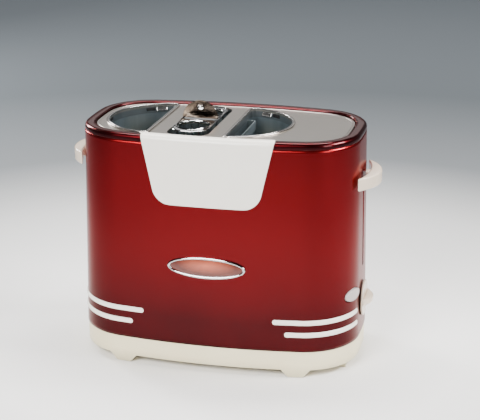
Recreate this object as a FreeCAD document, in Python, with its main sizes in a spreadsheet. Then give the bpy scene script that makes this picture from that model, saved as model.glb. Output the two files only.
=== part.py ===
import FreeCAD, Part
import math
import os
import Sketcher
from FreeCAD import Placement, Rotation, Vector

# Hot dog toaster with two bun wells and a lift-out sausage cage.
# Origin: centre of the base on the floor. +Z up, +X towards the lever, front faces -Y.

os.makedirs("parts", exist_ok=True)
doc = FreeCAD.newDocument("HotDogToaster")
sheet = doc.addObject("Spreadsheet::Sheet", "Sizes")

SIZES = {
    # Plan outline: eight tangent arcs, and how far each wall leans in on its way up
    "half_length": 145.0,
    "half_depth": 84.0,
    "front_radius": 626.0,
    "end_radius": 444.0,
    "corner_radius": 60.0,
    "taper": 3.5,
    # Heights from the floor up
    "foot_height": 8.0,
    "skirt_height": 20.0,
    "shell_height": 206.8,
    "groove_height": 1.2,
    "rim_height": 5.5,
    # Walls and sheets
    "shell_wall": 1.2,
    "skirt_wall": 2.4,
    "skirt_inset": 0.6,
    "sheet_wall": 1.0,
    "liner_wall": 0.8,
    "play": 0.4,
    "shaft_play": 0.05,
    # Base skirt, feet and bottom cover
    "skirt_flange": 14.0,
    "flange_height": 1.8,
    "foot_distance": 90.0,
    "foot_half_top": 14.5,
    "foot_half_low": 7.5,
    "foot_depth": 12.0,
    "end_foot_middle": 131.5,
    "end_foot_thickness": 7.0,
    "end_foot_half_width": 40.0,
    "pad_distance": 71.0,
    "pad_radius": 4.5,
    "pad_height": 1.5,
    "pad_proud": 0.5,
    "cover_height": 1.6,
    "cover_inset": 6.0,
    "ledge_height": 12.0,
    "ledge_width": 7.0,
    "chassis_sheet": 1.2,
    "chassis_border": 22.0,
    "chassis_lap": 8.0,
    "screw_distance": 53.8,
    "screw_inset": 11.0,
    "screw_head": 3.2,
    "screw_head_height": 1.5,
    "screw_shank": 1.5,
    # Rim and top plate
    "rim_width": 10.5,
    "rim_round": 4.2,
    "rim_low_round": 1.0,
    "rim_ledge_width": 2.9,
    "rim_ledge_height": 1.2,
    "neck_inset": 1.0,
    "neck_width": 6.0,
    "lap": 1.0,
    "plate_gap": 1.8,
    "plate_recess": 2.2,
    "lip_height": 1.5,
    "lip_width": 2.2,
    "lip_round": 0.9,
    "flange_drop": 7.0,
    # Bun wells: each D is an arc round a centre behind its flat side
    "group_middle": 26.5,
    "flat_half_gap": 39.5,
    "arc_setback": 6.2,
    "well_radius": 61.7,
    "well_corner": 5.0,
    "liner_gap": 1.3,
    "guard_setback": 7.0,
    "guard_half_width": 46.0,
    "window_half_width": 9.0,
    "window_low_margin": 30.0,
    "window_high_margin": 10.0,
    "window_sill": 6.0,
    "shield_gap": 19.0,
    "shield_half_width": 48.0,
    # Centre well and the sausage cage
    "cage_well_half_width": 21.5,
    "cage_well_half_length": 62.0,
    "cage_well_corner": 16.0,
    "cage_half_width": 19.2,
    "cage_half_length": 54.5,
    "cage_corner": 17.0,
    "cage_proud": 0.7,
    "cage_sheet": 1.5,
    "sausage_radius": 16.5,
    "sausage_spacing": 27.0,
    "basket_height": 58.0,
    "basket_gap": 0.6,
    "cage_wire": 1.2,
    "hoop_wire": 1.35,
    "cage_rest_gap": 0.3,
    "tab_radius": 18.5,
    "tab_thickness": 2.0,
    "tab_hole": 3.2,
    "tab_hole_height": 11.5,
    "tab_ring": 1.2,
    "tab_ring_proud": 0.6,
    # Carriage, its rods and its spring
    "carriage_travel": 88.0,
    "spine_clearance": 1.0,
    "spine_height": 8.0,
    "spine_thickness": 4.0,
    "spine_slot": 10.0,
    "spine_reach": 40.0,
    "lifter_gap": 2.5,
    "lifter_sheet": 1.5,
    "lifter_hole": 3.5,
    "lifter_hole_step": 14.0,
    "lifter_hole_row": 11.0,
    "wall_distance": 88.0,
    "wall_inset": 16.0,
    "bracket_gap": 8.0,
    "bracket_sheet": 2.0,
    "bracket_half_width": 28.0,
    "rod_gap": 6.0,
    "rod_spacing": 20.0,
    "rod_radius": 2.5,
    "collar_height": 12.0,
    "collar_wall": 2.5,
    "collar_margin": 4.0,
    "collar_rib": 2.0,
    "rod_top": 217.0,
    "rod_bracket_height": 3.0,
    "rod_bracket_lap": 6.0,
    "spring_gap": 9.0,
    "spring_offset": 11.0,
    "spring_radius": 3.6,
    "spring_wire": 0.6,
    "spring_turns": 12.0,
    "hook_height": 170.0,
    "hook_half_width": 5.0,
    # Lever knob, its slot and the carrying handle
    "lever_height": 193.0,
    "grip_height": 13.0,
    "grip_gap": 3.5,
    "grip_depth": 12.0,
    "grip_bow": 7.3,
    "grip_half_span": 38.0,
    "grip_blunt": 36.6,
    "stem_half_width": 2.5,
    "stem_half_height": 4.0,
    "slot_half_width": 3.2,
    "slot_play": 2.0,
    "hub_margin": 1.5,
    "hub_inside": 3.5,
    "hub_outside": 4.0,
    "handle_height": 202.2,
    "boss_half_width": 11.0,
    "boss_lap": 2.0,
    "boss_inside": 8.0,
    "bolt_spacing": 6.0,
    "bolt_head_height": 2.0,
    # Browning control
    "dial_height": 62.5,
    "dial_radius": 18.5,
    "dial_thickness": 2.6,
    "dial_gap": 0.6,
    "fin_reach": 8.0,
    "fin_half_width": 17.0,
    "fin_half_height": 3.5,
    "fin_round": 1.2,
    "dial_skin": 0.8,
    "shaft_radius": 3.0,
    "shaft_hole": 4.2,
    "board_depth": 14.0,
    "board_sheet": 1.6,
    "board_half_width": 25.0,
    "board_low": 30.0,
    "board_high": 95.0,
    "board_lap": 8.0,
    "bracket_inset": 4.0,
    "pot_radius": 8.0,
    "pot_length": 7.5,
    "shaft_gap": 1.0,
    "relay_depth": 9.0,
    "relay_half_width": 7.0,
    "relay_offset": 15.0,
    "relay_height": 59.0,
    "capacitor_radius": 5.0,
    "capacitor_depth": 8.0,
    "capacitor_offset": 15.0,
    "chip_depth": 5.0,
    "chip_half_width": 8.0,
    "chip_half_height": 4.0,
    "chip_offset": 6.0,
    "chip_height": 84.0,
    # Stop button on the front right corner
    "button_angle": 20.0,
    "button_height": 79.0,
    "button_half_width": 13.5,
    "button_half_height": 6.2,
    "button_proud": 1.8,
    "button_play": 0.6,
    "button_travel": 2.5,
    "button_flange": 2.0,
    "button_flange_gap": 2.4,
    "button_sheet": 1.2,
    "button_stem": 2.0,
    "button_stem_length": 8.4,
    "button_spring_gap": 7.0,
    "button_spring_radius": 3.1,
    "button_spring_wire": 0.35,
    "button_spring_turns": 3.0,
    "button_spring_seat": 0.5,
    "post_sheet": 1.0,
    "post_half_width": 8.0,
    "post_margin": 9.0,
    "switch_depth": 6.0,
    "switch_half_width": 4.5,
    "switch_bore_depth": 4.0,
    # Magnet that holds the carriage down
    "magnet_spacing": 16.0,
    "magnet_depth": 13.0,
    "magnet_half_width": 9.0,
    "magnet_height": 22.0,
    "latch_inset": 2.0,
    "magnet_gap": 2.0,
    # Heaters
    "heater_distance": 30.5,
    "heater_sheet": 1.5,
    "heater_half_width": 63.5,
    "heater_high": 224.0,
    "ribbon_margin": 8.0,
    "ribbon_height": 2.0,
    "ribbon_sheet": 0.4,
    "ribbon_rows": 8.0,
    # Trim strips
    "trim_upper": 58.8,
    "trim_lower": 46.0,
    "trim_height": 5.3,
    "trim_proud": 1.0,
    "trim_upper_start": 66.5,
    "trim_lower_start": 78.5,
    "trim_right_end": 27.0,
    # Badge plate and the oval ornament
    "badge_proud": 1.6,
    "badge_half_top": 67.0,
    "badge_half_low": 51.5,
    "badge_low": 173.8,
    "badge_corner": 14.0,
    "badge_fold": 7.0,
    "ornament_height": 111.3,
    "ornament_half_width": 40.0,
    "ornament_half_height": 11.5,
    "ornament_border": 3.0,
    "ornament_margin": 2.0,
    "ornament_proud": 2.2,
    "enamel_proud": 1.5,
    # Crumb tray and the cord's gland
    "tray_half_width": 70.0,
    "tray_front": 62.0,
    "tray_low": 12.2,
    "tray_height": 6.2,
    "tray_panel": 3.0,
    "tab_half_width": 12.0,
    "tab_reach": 4.0,
    "gland_distance": 64.0,
    "gland_height": 15.7,
    "gland_radius": 4.2,
    "gland_bore": 2.9,
    "gland_collar": 5.6,
    "gland_inside": 12.0,
    "gland_collar_length": 13.0,
    "gland_reach": 4.0,
}


class Term:
    """A size in millimetres together with the formula that ties it to the sheet."""

    def __init__(self, number, text):
        self.number = number
        self.text = text

    def join(self, other, sign, number):
        other = other if isinstance(other, Term) else Term(other, repr(float(other)))
        return Term(number(self.number, other.number), "(%s %s %s)" % (self.text, sign, other.text))

    def __add__(self, other):
        return self.join(other, "+", lambda a, b: a + b)

    def __sub__(self, other):
        return self.join(other, "-", lambda a, b: a - b)

    def __mul__(self, other):
        return self.join(other, "*", lambda a, b: a * b)

    def __truediv__(self, other):
        return self.join(other, "/", lambda a, b: a / b)

    def __neg__(self):
        return Term(-self.number, "(0 - %s)" % self.text)

    __radd__ = __add__
    __rmul__ = __mul__


def root(term):
    return Term(math.sqrt(term.number), "sqrt(%s)" % term.text)


def term(value):
    return value if isinstance(value, Term) else Term(float(value), repr(float(value)))


class Namespace:
    """Holds one Term for each cell of the sheet."""


size = Namespace()
for row, (alias, value) in enumerate(SIZES.items(), start=1):
    sheet.set("A%d" % row, alias)
    sheet.set("B%d" % row, str(value))
    sheet.setAlias("B%d" % row, alias)
doc.recompute()
for alias in SIZES:
    setattr(size, alias, Term(float(getattr(sheet, alias)), "Sizes." + alias))

nodes = {}


def bind(item, prop, value):
    item.setExpression(prop, term(value).text)


def node(label, item):
    item.Label = label
    nodes[label] = item
    return item


# Plain solids and how they combine

def move_to(item, x, y, z):
    bind(item, "Placement.Base.x", x)
    bind(item, "Placement.Base.y", y)
    bind(item, "Placement.Base.z", z)


def block(x0, x1, y0, y1, z0, z1):
    box = doc.addObject("Part::Box", "Block")
    bind(box, "Length", term(x1) - x0)
    bind(box, "Width", term(y1) - y0)
    bind(box, "Height", term(z1) - z0)
    move_to(box, x0, y0, z0)
    return box


def rod(x, y, z, radius, length, along="z"):
    """A cylinder that starts at x, y, z and runs along +X, +Y or +Z."""
    item = doc.addObject("Part::Cylinder", "Rod")
    bind(item, "Radius", radius)
    bind(item, "Height", length)
    turn = {"x": Rotation(Vector(0, 1, 0), 90), "y": Rotation(Vector(1, 0, 0), -90), "z": Rotation()}
    item.Placement = Placement(Vector(), turn[along])
    move_to(item, x, y, z)
    return item


def fuse(*items):
    item = doc.addObject("Part::MultiFuse", "Joined")
    item.Shapes = list(items)
    return item


def cut(base, *tools):
    item = doc.addObject("Part::Cut", "Opened")
    item.Base = base
    item.Tool = tools[0] if len(tools) == 1 else fuse(*tools)
    return item


def common(*items):
    item = doc.addObject("Part::MultiCommon", "Shared")
    item.Shapes = list(items)
    return item


def group(*items):
    item = doc.addObject("Part::Compound", "Group")
    item.Links = list(items)
    return item


# Sketches and the features that use them

Fact = Sketcher.Constraint
ORIGIN = -1
START, END, CENTRE = 1, 2, 3


def body():
    return doc.addObject("PartDesign::Body", "Piece")


def sketch(piece, plane, level):
    """A sketch on the XY, XZ or YZ plane of its piece, moved along the plane's normal."""
    item = piece.newObject("Sketcher::SketchObject", "Sketch")
    base = [f for f in piece.Origin.OriginFeatures if f.Role == plane + "_Plane"][0]
    item.AttachmentSupport = [(base, "")]
    item.MapMode = "FlatFace"
    bind(item, "AttachmentOffset.Base.z", level)
    return item


def measure(item, fact, *where_and_value):
    *where, value = where_and_value
    number = item.addConstraint(Fact(fact, *where, term(value).number))
    bind(item, "Constraints[%d]" % number, value)


def pin_point(item, edge, end, x, y):
    for fact, axis, value in (("DistanceX", -2, term(x)), ("DistanceY", -1, term(y))):
        if value.number == 0:
            item.addConstraint(Fact("PointOnObject", edge, end, axis))
        else:
            measure(item, fact, ORIGIN, START, edge, end, value)


def arc(x, y, radius, start, end):
    circle = Part.Circle(Vector(x, y, 0), Vector(0, 0, 1), radius)
    return Part.ArcOfCircle(circle, start, end)


def draw_polygon(item, points):
    points = [(term(x), term(y)) for x, y in points]
    ends = points[1:] + points[:1]
    for (x0, y0), (x1, y1) in zip(points, ends):
        line = Part.LineSegment(Vector(x0.number, y0.number, 0), Vector(x1.number, y1.number, 0))
        item.addGeometry(line, False)
    for edge, (x, y) in enumerate(points):
        item.addConstraint(Fact("Coincident", edge, START, (edge - 1) % len(points), END))
        pin_point(item, edge, START, x, y)


def draw_circle(item, x, y, radius):
    x, y, radius = term(x), term(y), term(radius)
    circle = Part.Circle(Vector(x.number, y.number, 0), Vector(0, 0, 1), radius.number)
    edge = item.addGeometry(circle, False)
    pin_point(item, edge, CENTRE, x, y)
    measure(item, "Radius", edge, radius)


def draw_rounded(item, x0, x1, y0, y1, radius):
    """A rectangle with four equal round corners."""
    x0, x1, y0, y1, radius = (term(v) for v in (x0, x1, y0, y1, radius))
    left, right, low, high, r = (v.number for v in (x0, x1, y0, y1, radius))
    quarter = math.pi / 2
    corners = [
        (right - r, low + r, 3),
        (right - r, high - r, 0),
        (left + r, high - r, 1),
        (left + r, low + r, 2),
    ]
    lines = [
        ((left + r, low), (right - r, low)),
        ((right, low + r), (right, high - r)),
        ((right - r, high), (left + r, high)),
        ((left, high - r), (left, low + r)),
    ]
    for (start, end), (cx, cy, turn) in zip(lines, corners):
        item.addGeometry(Part.LineSegment(Vector(*start, 0), Vector(*end, 0)), False)
        item.addGeometry(arc(cx, cy, r, turn * quarter, (turn + 1) * quarter), False)
    for edge in range(8):
        item.addConstraint(Fact("Tangent", edge, END, (edge + 1) % 8, START))
    for edge in (3, 5, 7):
        item.addConstraint(Fact("Equal", 1, edge))
    item.addConstraint(Fact("Horizontal", 0))
    item.addConstraint(Fact("Vertical", 2))
    item.addConstraint(Fact("Horizontal", 4))
    item.addConstraint(Fact("Vertical", 6))
    measure(item, "Radius", 1, radius)
    measure(item, "DistanceY", ORIGIN, START, 0, START, y0)
    measure(item, "DistanceX", ORIGIN, START, 2, START, x1)
    measure(item, "DistanceY", ORIGIN, START, 4, START, y1)
    measure(item, "DistanceX", ORIGIN, START, 6, START, x0)


front_centre = size.front_radius - size.half_depth
end_centre = size.end_radius - size.half_length
front_to_corner = size.front_radius - size.corner_radius
end_to_corner = size.end_radius - size.corner_radius
centres_apart = root(front_centre * front_centre + end_centre * end_centre)
corner_along = (
    front_to_corner * front_to_corner - end_to_corner * end_to_corner + centres_apart * centres_apart
) / (centres_apart * 2)
corner_across = root(front_to_corner * front_to_corner - corner_along * corner_along)
corner_x = (corner_across * front_centre - corner_along * end_centre) / centres_apart
corner_y = (corner_along * front_centre + corner_across * end_centre) / centres_apart - front_centre


def draw_outline(item, inset):
    """The toaster's plan: bowed front, back and ends, joined by four tangent corners."""
    inset = term(inset)
    front = (size.front_radius - inset).number
    end = (size.end_radius - inset).number
    corner = (size.corner_radius - inset).number
    far, side = front_centre.number, end_centre.number
    x, y = corner_x.number, corner_y.number
    bow = math.atan2(-y - far, x)
    bulge = math.atan2(-y, x + side)
    arcs = [
        arc(0, far, front, -math.pi - bow, bow),
        arc(x, -y, corner, bow, bulge),
        arc(-side, 0, end, bulge, -bulge),
        arc(x, y, corner, -bulge, -bow),
        arc(0, -far, front, -bow, math.pi + bow),
        arc(-x, y, corner, math.pi + bow, math.pi + bulge),
        arc(side, 0, end, math.pi + bulge, math.pi - bulge),
        arc(-x, -y, corner, math.pi - bulge, math.pi - bow),
    ]
    item.addGeometry(arcs, False)
    for edge in range(8):
        item.addConstraint(Fact("Tangent", edge, END, (edge + 1) % 8, START))
    for first, second in ((0, 4), (2, 6), (1, 3), (1, 5), (1, 7)):
        item.addConstraint(Fact("Equal", first, second))
    for edge, axis in ((0, -2), (4, -2), (2, -1), (6, -1)):
        item.addConstraint(Fact("PointOnObject", edge, CENTRE, axis))
    measure(item, "Radius", 0, size.front_radius - inset)
    measure(item, "Radius", 2, size.end_radius - inset)
    measure(item, "Radius", 1, size.corner_radius - inset)
    measure(item, "DistanceY", ORIGIN, START, 0, CENTRE, front_centre)
    measure(item, "DistanceY", 4, CENTRE, ORIGIN, START, front_centre)
    measure(item, "DistanceX", 2, CENTRE, ORIGIN, START, end_centre)
    measure(item, "DistanceX", ORIGIN, START, 6, CENTRE, end_centre)
    return item


def draw_well(item, side, grow):
    """The D of one bun well. Side is -1 for the left well and 1 for the right one."""
    flat = size.flat_half_gap * side - size.group_middle - grow * side
    centre = (size.flat_half_gap - size.arc_setback) * side - size.group_middle
    radius = size.well_radius + grow
    small = size.well_corner + grow
    small_x = flat + small * side
    small_y = root((radius - small) * (radius - small) - (small_x - centre) * (small_x - centre))
    lean = math.atan2(small_y.number, side * (small_x - centre).number)
    quarter = math.pi / 2
    if side > 0:
        spans = [(-lean, lean), (lean, 2 * quarter), (2 * quarter, 4 * quarter - lean)]
        middles = [(centre, 0), (small_x, 1), (small_x, -1)]
    else:
        spans = [(2 * quarter - lean, 2 * quarter + lean), (2 * quarter + lean, 4 * quarter),
                 (0, 2 * quarter - lean)]
        middles = [(centre, 0), (small_x, -1), (small_x, 1)]
    radii = [radius.number, small.number, small.number]
    for (start, end), (x, up), r in zip(spans, middles, radii):
        item.addGeometry(arc(x.number, up * small_y.number, r, start, end), False)
    up = side * small_y.number
    item.addGeometry(Part.LineSegment(Vector(flat.number, up, 0), Vector(flat.number, -up, 0)), False)
    item.addConstraint(Fact("Tangent", 0, END, 1, START))
    item.addConstraint(Fact("Tangent", 1, END, 3, START))
    item.addConstraint(Fact("Tangent", 3, END, 2, START))
    item.addConstraint(Fact("Tangent", 2, END, 0, START))
    item.addConstraint(Fact("Vertical", 3))
    item.addConstraint(Fact("Equal", 1, 2))
    measure(item, "Radius", 0, radius)
    measure(item, "Radius", 1, small)
    pin_point(item, 0, CENTRE, centre, 0)
    measure(item, "DistanceX", ORIGIN, START, 3, START, flat)
    return item


def draw_crescent(item, side, reach, inner):
    """Plan of a grip: a bowed outer face and a flatter inner face that meet at two tips."""
    span, tip = size.grip_half_span, grip_tip
    for edge, apex in enumerate((reach, inner)):
        rise = apex - tip
        radius = (span * span + rise * rise) / (rise * 2)
        middle = (apex - radius) * side
        lean = math.asin(span.number / radius.number)
        start = 0 if side > 0 else math.pi
        item.addGeometry(arc(middle.number, 0, radius.number, start - lean, start + lean), False)
        measure(item, "Radius", edge, radius)
        pin_point(item, edge, CENTRE, middle, 0)
    item.addConstraint(Fact("Coincident", 0, START, 1, START))
    item.addConstraint(Fact("Coincident", 0, END, 1, END))


def pad(piece, profile, length, both_ways=False, backwards=False):
    item = piece.newObject("PartDesign::Pad", "Pad")
    item.Profile = profile
    item.Midplane = both_ways
    item.Reversed = backwards
    bind(item, "Length", length)
    return item


def pocket(piece, profile, length, both_ways=False, backwards=False):
    item = piece.newObject("PartDesign::Pocket", "Pocket")
    item.Profile = profile
    item.Midplane = both_ways
    item.Reversed = backwards
    bind(item, "Length", length)
    return item


def round_edges(piece, feature, radius, wanted):
    """Rounds the edges of a feature whose middle point and length pass a test."""
    doc.recompute()
    names = []
    for number, edge in enumerate(feature.Shape.Edges, start=1):
        first, last = edge.ParameterRange
        if wanted(edge, edge.valueAt((first + last) / 2)):
            names.append("Edge%d" % number)
    item = piece.newObject("PartDesign::Fillet", "Fillet")
    item.Base = (feature, names)
    bind(item, "Radius", radius)
    return item


def coil_spring(radius, wire, turns, length):
    """A round wire wound about the Z axis, with its first turn lying on the XY plane."""
    piece = body()
    profile = sketch(piece, "XZ", 0)
    draw_circle(profile, radius, wire, wire)
    coil = piece.newObject("PartDesign::AdditiveHelix", "Coil")
    coil.Profile = profile
    coil.ReferenceAxis = (profile, ["V_Axis"])
    coil.Mode = "height-turns-growth"
    bind(coil, "Height", length - wire * 2)
    bind(coil, "Turns", turns)
    return piece


# Levels, measured up from the floor

skirt_low = size.foot_height
shell_low = skirt_low + size.skirt_height
shell_top = shell_low + size.shell_height
rim_low = shell_top + size.groove_height
rim_top = rim_low + size.rim_height
plate_top = rim_top - size.plate_recess
plate_low = plate_top - size.sheet_wall
lip_top = plate_top + size.lip_height
flange_low = plate_low - size.flange_drop
ledge_top = skirt_low + size.ledge_height
chassis_top = ledge_top + size.chassis_sheet
cover_low = skirt_low + size.flange_height
cover_top = cover_low + size.cover_height
liner_top = plate_low - size.play
spine_low = chassis_top + size.spine_clearance + size.carriage_travel
spine_top = spine_low + size.spine_height
slot_top = spine_top + size.lifter_sheet + size.spine_clearance
cage_low = spine_top + size.cage_rest_gap
cage_top = rim_top + size.cage_proud
cage_flange_low = cage_top - size.cage_sheet

# Distances along X from the middle

bracket_distance = size.wall_distance + size.bracket_gap
rod_distance = bracket_distance + size.rod_gap
spring_distance = rod_distance + size.spring_gap
magnet_near = bracket_distance + size.magnet_spacing
magnet_far = magnet_near + size.magnet_depth
board_distance = size.half_length - size.board_depth
shield_distance = size.half_length - size.shield_gap
grip_inner = size.half_length + size.grip_gap
grip_reach = grip_inner + size.grip_depth
grip_tip = grip_inner - size.grip_bow

# How far a cutting tool runs when it goes right through, or just past a face
FAR = term(400.0)
PAST = term(1.0)


def lean_at(level):
    """How far the shell has leaned in at a level."""
    return size.taper * (level - shell_low) / size.shell_height


def tower(low, high, grow):
    """A solid of the toaster's tapered outline between two levels, grown outwards."""
    piece = body()
    bottom = draw_outline(sketch(piece, "XY", low), lean_at(low) - grow)
    top = draw_outline(sketch(piece, "XY", high), lean_at(high) - grow)
    loft = piece.newObject("PartDesign::AdditiveLoft", "Loft")
    loft.Profile = bottom
    loft.Sections = [top]
    loft.Ruled = True
    return piece


def disc(low, high, inset):
    """A straight solid of the toaster's outline between two levels."""
    piece = body()
    pad(piece, draw_outline(sketch(piece, "XY", low), inset), high - low)
    return piece


def ring(low, high, outer, inner):
    piece = body()
    pad(piece, draw_outline(sketch(piece, "XY", low), outer), high - low)
    pocket(piece, draw_outline(sketch(piece, "XY", low), inner), high - low, backwards=True)
    return piece


def well_column(side, low, high, grow):
    piece = body()
    pad(piece, draw_well(sketch(piece, "XY", low), side, term(grow)), high - low)
    return piece


def cage_column(low, high, half_width, half_length, corner):
    piece = body()
    profile = sketch(piece, "XY", low)
    middle = -size.group_middle
    draw_rounded(profile, middle - half_width, middle + half_width, -half_length, half_length, corner)
    pad(piece, profile, high - low)
    return piece


# Base skirt: a moulded ring on four trapezoid feet, with two low stops under its ends

skirt_ring = ring(skirt_low, shell_low, size.skirt_inset, size.skirt_inset + size.skirt_wall)
skirt_flange = ring(skirt_low, cover_low, size.skirt_inset, size.skirt_inset + size.skirt_flange)
skirt_ledge = ring(ledge_top - size.flange_height, ledge_top, size.skirt_inset + size.skirt_wall / 2,
                   size.skirt_inset + size.ledge_width)
foot_low = size.pad_proud
foot_ring = ring(foot_low, cover_low, size.skirt_inset, size.skirt_inset + size.foot_depth)


def trapezoid_bar(plane, middle, half_top, half_low):
    piece = body()
    profile = sketch(piece, plane, 0)
    draw_polygon(profile, [
        (middle - half_low, foot_low),
        (middle + half_low, foot_low),
        (middle + half_top, skirt_low),
        (middle + half_top, cover_low),
        (middle - half_top, cover_low),
        (middle - half_top, skirt_low),
    ])
    pad(piece, profile, FAR, both_ways=True)
    return piece


front_back_bars = [
    trapezoid_bar("XZ", size.foot_distance * side, size.foot_half_top, size.foot_half_low)
    for side in (-1, 1)
]
feet = common(foot_ring, fuse(*front_back_bars))
end_half = size.end_foot_thickness / 2
end_stops = [
    block(size.end_foot_middle * side - end_half, size.end_foot_middle * side + end_half,
          -size.end_foot_half_width, size.end_foot_half_width, foot_low, cover_low)
    for side in (-1, 1)
]
tray_left = -size.group_middle - size.tray_half_width
tray_right = -size.group_middle + size.tray_half_width
tray_top = size.tray_low + size.tray_height
tray_slot = block(tray_left - size.play, tray_right + size.play, size.tray_front, FAR,
                  size.tray_low - size.play, tray_top + size.play)
gland_hole = rod(size.gland_distance, size.tray_front, size.gland_height, size.gland_radius, FAR, "y")
pad_places = [(size.foot_distance * x, size.pad_distance * y) for x in (-1, 1) for y in (-1, 1)]
pad_sockets = [rod(x, y, foot_low, size.pad_radius, size.pad_height - size.pad_proud) for x, y in pad_places]
screw_line = size.half_depth - size.screw_inset
screw_places = [(size.screw_distance * x, screw_line * y) for x in (-1, 0, 1) for y in (-1, 1)]
screw_holes = [rod(x, y, skirt_low, size.screw_shank, cover_top - skirt_low) for x, y in screw_places]
skirt_solid = fuse(skirt_ring, skirt_flange, skirt_ledge, feet, *end_stops)
node("base_skirt", cut(skirt_solid, tray_slot, gland_hole, *pad_sockets, *screw_holes))
node("rubber_pads", group(*[rod(x, y, 0, size.pad_radius, size.pad_height) for x, y in pad_places]))

# Bottom cover, its screws and the rails of the crumb tray
cover_disc = disc(cover_low, cover_top, size.cover_inset)
cover_holes = [rod(x, y, cover_low, size.screw_shank, size.cover_height) for x, y in screw_places]
node("bottom_cover", cut(cover_disc, *cover_holes))
head_low = skirt_low - size.screw_head_height
screws = []
for x, y in screw_places:
    head = rod(x, y, head_low, size.screw_head, size.screw_head_height)
    screws.append(fuse(head, rod(x, y, head_low, size.screw_shank, cover_top - head_low)))
node("bottom_screws", group(*screws))
rail_high = tray_top - size.play
rails = []
for side, edge in ((-1, tray_left), (1, tray_right)):
    near, far = edge + size.play * side, edge + (size.play + size.sheet_wall) * side
    rails.append(block(near if side > 0 else far, far if side > 0 else near,
                       -size.tray_front + size.play, size.tray_front - size.play, cover_top, rail_high))
node("tray_rails", group(*rails))

# Crumb tray: a pan with a curved back panel that closes the slot in the skirt
pan = cut(
    common(block(tray_left, tray_right, -size.tray_front, FAR, size.tray_low, tray_top),
           disc(size.tray_low, tray_top, size.skirt_inset + size.tray_panel / 2)),
    block(tray_left + size.sheet_wall, tray_right - size.sheet_wall, -size.tray_front + size.sheet_wall, FAR,
          size.tray_low + size.sheet_wall, tray_top),
)
panel = common(block(tray_left, tray_right, size.tray_front, FAR, size.tray_low, tray_top),
               ring(size.tray_low, tray_top, size.skirt_inset, size.skirt_inset + size.tray_panel))
grip = block(-size.group_middle - size.tab_half_width, -size.group_middle + size.tab_half_width,
             size.half_depth - size.tray_panel, size.half_depth + size.tab_reach,
             size.tray_low + size.sheet_wall, tray_top - size.sheet_wall)
node("crumb_tray", fuse(pan, panel, grip))

# Gland in the back of the skirt, where the supply lead comes in
gland_start = size.half_depth - size.gland_inside
gland_end = size.half_depth + size.gland_reach
gland_body = rod(size.gland_distance, gland_start, size.gland_height, size.gland_radius - size.shaft_play,
                 gland_end - gland_start, "y")
collar_rod = rod(size.gland_distance, gland_start, size.gland_height, size.gland_collar,
                 size.gland_collar_length, "y")
gland_collar = cut(collar_rod, disc(skirt_low, shell_low, size.skirt_inset))
gland_inner = rod(size.gland_distance, gland_start, size.gland_height, size.gland_bore,
                  gland_end - gland_start, "y")
node("cord_gland", cut(fuse(gland_body, gland_collar), gland_inner))

# Chassis frame: one sheet on the skirt's ledge, open under the three wells
chassis_sheet = disc(ledge_top, chassis_top, size.skirt_inset + size.skirt_wall + size.play)
chassis_opening = common(
    disc(ledge_top, chassis_top, size.chassis_border),
    block(-FAR, size.wall_distance - size.chassis_lap, -FAR, FAR, ledge_top, chassis_top),
)
node("chassis_frame", cut(chassis_sheet, chassis_opening))

# Red outer shell: a leaning skin with the lever slot and the holes for dial and button

lever_low = size.lever_height - size.carriage_travel - size.stem_half_height - size.slot_play
lever_high = size.lever_height + size.stem_half_height + size.slot_play
button_low = size.button_height - size.button_half_height
button_radius = size.corner_radius - lean_at(size.button_height)


def oval_bar(near, far, grow):
    """The button's oval, run outwards along the local X axis of the corner."""
    oval = doc.addObject("Part::Ellipse", "Oval")
    bind(oval, "MajorRadius", size.button_half_width + grow)
    bind(oval, "MinorRadius", size.button_half_height + grow)
    oval.Placement = Placement(Vector(), Rotation(Vector(1, 1, 1), 120))
    move_to(oval, near, 0, size.button_height)
    bar = doc.addObject("Part::Extrusion", "Bar")
    bar.Base = oval
    bar.DirMode = "Custom"
    bar.Dir = Vector(1, 0, 0)
    bar.Solid = True
    bind(bar, "LengthFwd", far - near)
    return bar


def in_corner(item):
    """Moves a piece made about the origin to the corner's centre and turns it to the button's side."""
    item.Placement = Placement(Vector(), Rotation(Vector(0, 0, -1), size.button_angle.number))
    bind(item, "Placement.Base.x", corner_x)
    bind(item, "Placement.Base.y", -corner_y)
    bind(item, "Placement.Rotation.Angle", size.button_angle)
    return item


slot = block(board_distance, FAR, -size.slot_half_width, size.slot_half_width, lever_low, lever_high)
dial_hole = rod(board_distance, 0, size.dial_height, size.shaft_hole, FAR, "x")
button_hole = in_corner(group(oval_bar(size.corner_radius / 2, size.corner_radius * 2, size.button_play)))
handle_bolts = [(size.bolt_spacing * side, size.handle_height) for side in (-1, 1)]
handle_holes = [rod(-FAR, y, z, size.screw_shank, FAR - board_distance, "x") for y, z in handle_bolts]
outer_shell = cut(tower(shell_low, shell_top, 0), tower(shell_low, shell_top, -size.shell_wall), slot,
                  dial_hole, button_hole, *handle_holes)
node("outer_shell", outer_shell)

# Top rim: a rounded red bead on a narrow neck, with an inner ledge for the top plate

rim_inner = size.taper + size.rim_width
bead = body()
bead_pad = pad(bead, draw_outline(sketch(bead, "XY", rim_low), size.taper), size.rim_height)
bead_outer = round_edges(bead, bead_pad, size.rim_round,
                         lambda edge, p: abs(p.z - rim_top.number) < 0.01)
round_edges(bead, bead_outer, size.rim_low_round,
            lambda edge, p: abs(p.z - rim_low.number) < 0.01)
pocket(bead, draw_outline(sketch(bead, "XY", rim_low), rim_inner), size.rim_height, backwards=True)
ledge_high = rim_low + size.rim_ledge_height
rim_ledge = ring(rim_low, ledge_high, rim_inner - size.lap, rim_inner + size.rim_ledge_width)
neck_inset = size.taper + size.neck_inset
neck = ring(shell_top, rim_low + size.lap, neck_inset, neck_inset + size.neck_width)
node("top_rim", fuse(bead, rim_ledge, neck))

# Top plate: brushed sheet with two D openings in rolled lips and the cage's opening

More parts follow.
